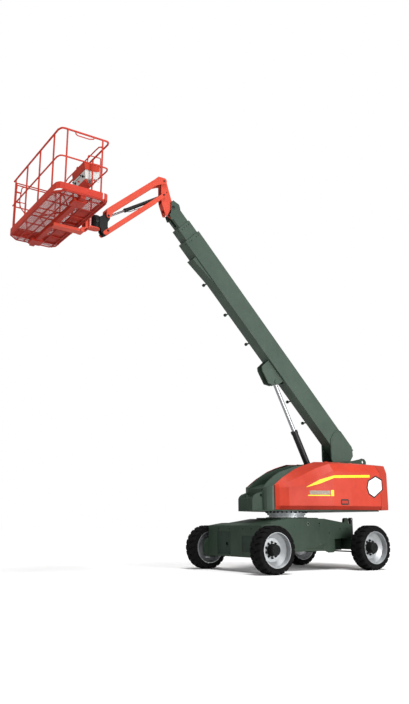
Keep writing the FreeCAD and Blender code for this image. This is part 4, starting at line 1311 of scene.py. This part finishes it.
@dataclass
class Jib:
    """Pin heads, bolts and the pipe of the jib, with its pins as (x, z)."""

    nose: Flat = (2.8591, 7.2032)
    top: Flat = (3.0901, 7.7192)
    mid: Flat = (3.0901, 7.4122)
    out_top: Flat = (4.3068, 6.6465)
    out_low: Flat = (4.3068, 6.3395)
    rotator_out: float = 0.225
    rotator_drop: float = 0.04
    rotator_r: float = 0.066
    pipe_line: tuple[Flat, ...] = (
        (0.12, 0.036), (0.16, 0.055), (0.3, 0.058), (0.6, 0.058), (0.86, 0.058), (0.91, 0.05),
        (0.93, 0.038),
    )

    def heads(self) -> None:
        """Pin heads on both sides of each pin of the jib."""
        for name, (x, z), start, stop, body, radius in (
            ("nose_pin", self.nose, 0.104, 0.108, "boom_fly", 0.03),
            ("upper_pin", self.top, 0.0995, 0.114, "jib_bracket", 0.019),
            ("middle_pin", self.mid, 0.0995, 0.114, "jib_bracket", 0.019),
            ("outer_pin_top", self.out_top, 0.0995, 0.114, "jib_end_bracket", 0.019),
            ("outer_pin_low", self.out_low, 0.0995, 0.114, "jib_end_bracket", 0.019),
        ):
            parts = [
                bar("head", (x, s * start, z), (x, s * stop, z), radius, 20) for s in (-1, 1)
            ]
            done(joined(f"{name}_heads", parts), DARK_BOLT, body)

    def pipe(self) -> None:
        """Thin pipe clipped under the jib cylinder."""
        a = Vector((self.mid[0], 0.0, self.mid[1]))
        b = Vector((self.out_top[0], 0.0, self.out_top[1]))
        way = (b - a).normalized()
        down = Vector((way.z, 0.0, -way.x))
        line = [a + way * along + down * drop for along, drop in self.pipe_line]
        parts = [tube("pipe", line, 0.007)]
        for along in (0.3, 0.75):
            foot = a + way * along + down * 0.034
            parts.append(stub("clip", foot, down * 0.022, 0.008, 10, 0.001))
        done(joined("jib_pipe", parts), BLACK_ENAMEL, "jib_barrel")

    def rotator(self) -> None:
        """Cap bolts and valve block of the platform rotator."""
        x, z = self.out_top[0] + self.rotator_out, self.out_top[1] - self.rotator_drop
        r = self.rotator_r
        spots = [((x + r * math.cos(a), r * math.sin(a), z), UP) for a in around(8, 0.3)]
        done(bolts("rotator_bolts", spots, 0.007, 0.004), BOLT, "jib_end_bracket")
        low, high = (x - 0.03, 0.078, z - 0.15), (x + 0.04, 0.112, z - 0.07)
        done(box("rotator_valve", low, high, 0.004), BLACK_ENAMEL, "jib_end_bracket")

    def build(self) -> None:
        """Makes every jib fitting."""
        self.heads()
        self.pipe()
        self.rotator()


# ---- platform ------------------------------------------------------------
@dataclass
class Platform:
    """Mesh deck, latch, console controls and rivets of the platform.

    guard is the grab loop's line: how far back from the outer edge, and how far up.
    panel_at is the middle of the control panel's face from the deck's edge, and
    panel_way is the way up its slope.
    """

    x0: float = 4.8498
    x1: float = 5.8148
    half: float = 1.27
    floor: float = 6.3505
    deck_inset: float = 0.018
    sheet_width: float = 0.30
    pitch: float = 0.025
    wire: float = 0.0072
    outer_row: float = 0.045
    inner_row: float = 0.012
    post_r: float = 0.014
    outer_posts: tuple[float, ...] = (-1.09, -0.42, 0.25, 0.92)
    inner_posts: tuple[float, ...] = (-1.09, -0.42, 0.47)
    ring_y: Flat = (-0.85, 0.75)
    rivets: int = 8
    rivet_y: float = -1.1
    rivet_step: float = 0.3
    hinge_back: float = 0.089
    hinge_in: float = 0.1
    hinge_up: Flat = (0.2, 1.0)
    clamp_up: Flat = (0.72, 0.93)
    latch_x: float = 0.059
    arm_x: float = 4.6808
    arm_bolts: tuple[tuple[float, ...], ...] = ((-0.1, 0.1), (-0.03, 0.1, 0.24))
    panel_at: Point = (0.0985, 0.125, 0.848)
    panel_way: Point = (0.015, 0.0, 0.173)
    guard: tuple[Flat, ...] = (
        (0.345, 0.145), (0.345, 0.4), (0.286, 0.5225), (0.21, 0.6), (0.186, 0.6455),
        (0.17, 0.7155), (0.17, 0.8195), (0.187, 0.9325), (0.19, 1.0015), (0.203, 1.0495),
        (0.244, 1.0775), (0.325, 1.0775),
    )

    def outline(self) -> list[Flat]:
        """The deck's eight-cornered outline inside its frame.

        Returns:
            Its (x, y) corners in order.
        """
        inset = self.deck_inset
        a, b, h = self.x0 + inset, self.x1 - inset, self.half - inset
        near, off = 0.105 - inset / 2, 0.17 - inset / 2
        half = [(a + near, h), (b - off, h), (b, h - off), (b, -h + off), (b - off, -h)]
        return half + [(a + near, -h), (a, -h + near), (a, h - near)]

    def deck(self) -> None:
        """Expanded mesh over the deck, with sheet along the boom side."""
        start, h, z = self.x0 + 0.02, self.half - self.deck_inset, self.floor - 0.009
        wide = 0.6 * self.pitch
        columns = int((self.x1 - self.deck_inset - start) / wide)
        rows = int(2 * h / self.pitch)
        unselect()
        bpy.ops.mesh.primitive_grid_add(x_subdivisions=columns, y_subdivisions=rows, size=1.0)
        for corner in bpy.context.object.data.vertices:
            i = round((corner.co.x + 0.5) * columns)
            j = round((corner.co.y + 0.5) * rows)
            shift = 0.5 if i % 2 else 0.0
            corner.co = (start + i * wide, -h + (j + shift) * self.pitch, z)
        edit_all()
        outline = self.outline()
        middle = (self.x0 + self.x1) / 2
        for (xa, ya), (xb, yb) in zip(outline, outline[1:] + outline[:1]):
            out = Vector((yb - ya, xa - xb, 0.0))
            if out.dot(Vector((xa - middle, ya, 0.0))) < 0:
                out = -out
            bpy.ops.mesh.select_all(action="SELECT")
            bpy.ops.mesh.bisect(plane_co=(xa, ya, z), plane_no=out.normalized(), clear_outer=True)
        bpy.ops.object.mode_set(mode="OBJECT")
        made = settle("deck_mesh")
        shaped(made, "WIREFRAME", thickness=self.wire, use_replace=True, use_boundary=True)
        unselect()
        xa, xb = self.x0 + 0.05, self.x0 + self.sheet_width + 0.01
        sheet = [
            box("sheet", (xa, ya, z - 0.003), (xb, yb, z + 0.003), 0.001)
            for ya, yb in ((-1.14, -0.76), (-0.74, 0.1), (0.12, 0.66))
        ]
        lower = joined("deck_sheet", sheet)
        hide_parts("platform_floor")
        done(made, DARK_RED, "platform")
        done(lower, DARK_RED, "platform")

    def controls(self) -> None:
        """Levers, switches, stop knob and connector of the control box."""
        x, z = self.x0, self.floor
        face = Vector(self.panel_way).normalized()
        out = Vector((face.z, 0.0, -face.x))
        spot = Vector((x, 0.0, z)) + Vector(self.panel_at)
        grips, boots, keys = [], [], []
        for y in (-0.17, 0.17):
            foot = spot + Vector((0, y, 0))
            boots.append(stub("boot", foot, out * 0.016, 0.026, 20, 0.006))
            stick = [foot, foot + out * 0.03, foot + out * 0.05 + face * 0.008]
            grips.append(tube("stick", stick, 0.006))
            tip = foot + out * 0.052 + face * 0.009
            grips.append(bar("grip", tip - out * 0.014, tip + out * 0.016, 0.013, 16, 0.005))
        for i in range(6):
            foot = spot + Vector((0, -0.1125 + i * 0.045, 0)) + face * 0.035
            keys.append(stub("switch", foot, out * 0.012, 0.007, 10, 0.001))
        for y in (-0.23, 0.23):
            foot = spot + Vector((0, y, 0)) - face * 0.03
            keys.append(stub("dial", foot, out * 0.014, 0.013, 18))
        done(joined("lever_boots", boots), SEAL, "platform")
        done(joined("levers", grips), BLACK_ABS, "platform")
        done(joined("switches", keys), BLACK_ABS, "platform")
        foot = spot - face * 0.035
        stop = [
            stub("stem", foot, out * 0.018, 0.008),
            bar("knob", foot + out * 0.016, foot + out * 0.03, 0.02, 24, 0.006),
        ]
        done(joined("stop_knob", stop), KNOB_RED, "platform")
        socket = [
            box("socket", (x - 0.1, 0.26, z + 0.70), (x - 0.035, 0.37, z + 0.784), 0.008),
            box("cap", (x - 0.085, 0.37, z + 0.715), (x - 0.05, 0.39, z + 0.765), 0.006),
        ]
        done(joined("console_socket", socket), GREY_ABS, "platform")
        spots = [((x - 0.184, y, z + 0.935), BACK) for y in (-0.1, 0.06, 0.22, 0.35)]
        done(bolts("console_screws", spots, 0.006, 0.004), DARK_BOLT, "platform")

    def rails(self) -> None:
        """Rivets, post sleeves and harness rings."""
        z = self.floor
        outer, inner = self.x1 - self.outer_row, self.x0 - self.inner_row
        row = [self.rivet_y + i * self.rivet_step for i in range(self.rivets)]
        spots = []
        for y in row:
            spots += [((outer + self.post_r, y, z + up), AHEAD) for up in (0.03, 0.125)]
        spots += [((inner - self.post_r, y, z + 0.07), BACK) for y in row]
        spots += [((5.02 + i * 0.18, 1.204, z + 0.077), LEFTWARD) for i in range(4)]
        done(bolts("board_rivets", spots, 0.006, 0.003), RAIL_RED, "platform")
        sleeves = []
        for x, line in ((outer, self.outer_posts), (inner, self.inner_posts)):
            for y in line:
                foot = (x, y, z - 0.006)
                sleeves.append(stub("sleeve", foot, (0, 0, 0.018), 0.021, 20, 0.003))
                sleeves.append(stub("collar", (x, y, z + 0.62), (0, 0, 0.02), 0.0165, 20))
        done(joined("post_sleeves", sleeves), RAIL_RED, "platform")
        rim = section(0.02, 0.028, -0.004, 0.004)
        rings = [turned("ring", rim, (inner, y, z + 0.588), LEFTWARD, 24) for y in self.ring_y]
        done(joined("harness_rings", rings), ZINC, "platform")

    def gate_parts(self) -> None:
        """Hinge knuckles, curved grab loop and latch hook of the gate."""
        x, y, z = self.x1 - self.hinge_back, -self.half + self.hinge_in, self.floor
        knuckles = []
        for up in self.hinge_up:
            foot = (x, y, z + up)
            knuckles.append(stub("knuckle", foot, (0, 0, 0.06), 0.0175, 20))
            low, high = (x, y - 0.004, z + up + 0.008), (x + 0.03, y + 0.004, z + up + 0.052)
            knuckles.append(box("leaf", low, high, 0.001))
        done(joined("gate_knuckles", knuckles), RAIL_RED, "platform")
        loop = [tube("loop", [(self.x1 - back, y, z + up) for back, up in self.guard], 0.011)]
        for up in self.clamp_up:
            ends = (self.x1 - 0.19, y, z + up), (x, y, z + up)
            loop.append(bar("clamp", *ends, 0.0165, 20, 0.003))
        done(joined("gate_loop", loop), RAIL_RED, "gate")
        x = self.x0 + self.latch_x
        low, high = (x - 0.03, y - 0.012, z + 0.96), (x + 0.02, y + 0.012, z + 1.0)
        line = [(x - 0.01, y - 0.014, z + 1.0), (x - 0.01, y - 0.03, z + 1.05)]
        line.append((x + 0.03, y - 0.03, z + 1.08))
        hook = [box("latch", low, high), tube("hook", line, 0.006)]
        done(joined("gate_latch", hook), ZINC, "gate")

    def carrier(self) -> None:
        """Bolts that hold the carrying arm and the back plate."""
        across, rise = self.arm_bolts
        spots = [((self.arm_x, y, self.floor + up), BACK) for y in across for up in rise]
        done(bolts("back_plate_bolts", spots, 0.012, 0.008), DARK_BOLT, "platform")

    def build(self) -> None:
        """Makes every platform fitting."""
        self.deck()
        self.controls()
        self.rails()
        self.gate_parts()
        self.carrier()


# ---- studio --------------------------------------------------------------
@dataclass
class Studio:
    """Pale floor, soft light and the camera, with angles in degrees."""

    eye: Point = (9.634, 11.499, 0.9085)
    tilt: float = 103.74
    heading: float = 146.54
    lens: float = 35.84
    sensor: float = 36.0
    far: float = 400.0
    floor_size: float = 240.0
    paper: str = "FBFBFB"
    bounce: float = 0.58
    surround: float = 0.3
    sun: float = 2.55
    sun_angle: float = 26.0
    sun_way: Point = (-0.12, -0.42, -1.0)
    aim: Point = (0.8, 0.0, 3.0)
    panels: tuple[tuple[str, Point, float, float], ...] = (
        ("key_panel", (-3.0, 18.0, 4.6), 9.0, 3200.0),
        ("rim_panel", (-12.0, -6.0, 12.0), 8.0, 200.0),
        ("front_panel", (20.0, 3.0, 5.0), 8.0, 700.0),
    )

    def lit_apart(
        self, tree: bpy.types.NodeTree, kind: str, end: str, thrown: dict, shown: dict
    ) -> None:
        """Shader that shows one value and throws another as light.

        Args:
            tree: an emptied node tree.
            kind: the shader node's type.
            end: the output node's type.
            thrown: the shader's settings for light.
            shown: its settings as it is seen.
        """
        tree.nodes.clear()
        ray = add_node(tree, "ShaderNodeLightPath").outputs["Is Camera Ray"]
        a, b = (add_node(tree, kind, values).outputs[0] for values in (thrown, shown))
        both = add_node(tree, "ShaderNodeMixShader", n0=ray, n1=a, n2=b)
        add_node(tree, end, Surface=both.outputs["Shader"])

    def floor(self) -> None:
        """Seamless pale floor that throws less light up than it shows."""
        unselect()
        bpy.ops.mesh.primitive_plane_add(size=self.floor_size, location=(0, 0, 0))
        made = settle("studio_floor")
        material = bpy.data.materials.new("studio_paper")
        material.use_nodes = True
        colours = {"Color": grey(self.bounce)}, {"Color": linear(self.paper)}
        kinds = "ShaderNodeBsdfDiffuse", "ShaderNodeOutputMaterial"
        self.lit_apart(material.node_tree, *kinds, *colours)
        made.data.materials.append(material)

    def light(self) -> None:
        """White backdrop, a dimmer surround for light, a soft sun and three panels."""
        world = bpy.data.worlds.new("studio_world")
        bpy.context.scene.world = world
        world.use_nodes = True
        glow = [{"Color": grey(1.0), "Strength": level} for level in (self.surround, 1.0)]
        self.lit_apart(world.node_tree, "ShaderNodeBackground", "ShaderNodeOutputWorld", *glow)
        bpy.ops.object.light_add(type="SUN", location=(0.0, 0.0, 20.0))
        sun = bpy.context.object
        sun.name = "soft_sun"
        sun.data.energy = self.sun
        sun.data.angle = math.radians(self.sun_angle)
        sun.rotation_euler = Vector(self.sun_way).to_track_quat("-Z", "Y").to_euler()
        for name, place, size, power in self.panels:
            bpy.ops.object.light_add(type="AREA", location=place)
            lamp = bpy.context.object
            lamp.name = name
            lamp.data.size = size
            lamp.data.energy = power
            way = Vector(self.aim) - Vector(place)
            lamp.rotation_euler = way.to_track_quat("-Z", "Y").to_euler()
        unselect()

    def camera(self) -> None:
        """Camera at standing eye height, front left."""
        turn = (math.radians(self.tilt), 0.0, math.radians(self.heading))
        bpy.ops.object.camera_add(location=self.eye, rotation=turn)
        made = bpy.context.object
        made.name = "camera"
        made.data.lens = self.lens
        made.data.sensor_width = self.sensor
        made.data.clip_end = self.far
        bpy.context.scene.camera = made
        unselect()

    def build(self) -> None:
        """Makes the whole studio."""
        self.floor()
        self.light()
        self.camera()
        bpy.context.scene.view_settings.view_transform = "Standard"


def dress_nodes() -> None:
    """Gives every CAD node its finish."""
    for finish, names in NODE_FINISHES.items():
        material = finish.build()
        for name in names.split():
            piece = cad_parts[name]
            for place in piece.material_slots:
                place.material = material
            if not piece.material_slots:
                piece.data.materials.append(material)


def main() -> None:
    """Builds the machine's fittings in order."""
    logging.basicConfig(level=logging.INFO, format="%(name)s %(message)s")
    dress_nodes()
    for end in End:
        for side in Side:
            Wheel(end, side).build()
    Chassis().build()
    Turntable().build()
    Boom().build()
    Jib().build()
    Platform().build()
    Studio().build()


if __name__ == "__main__":
    main()
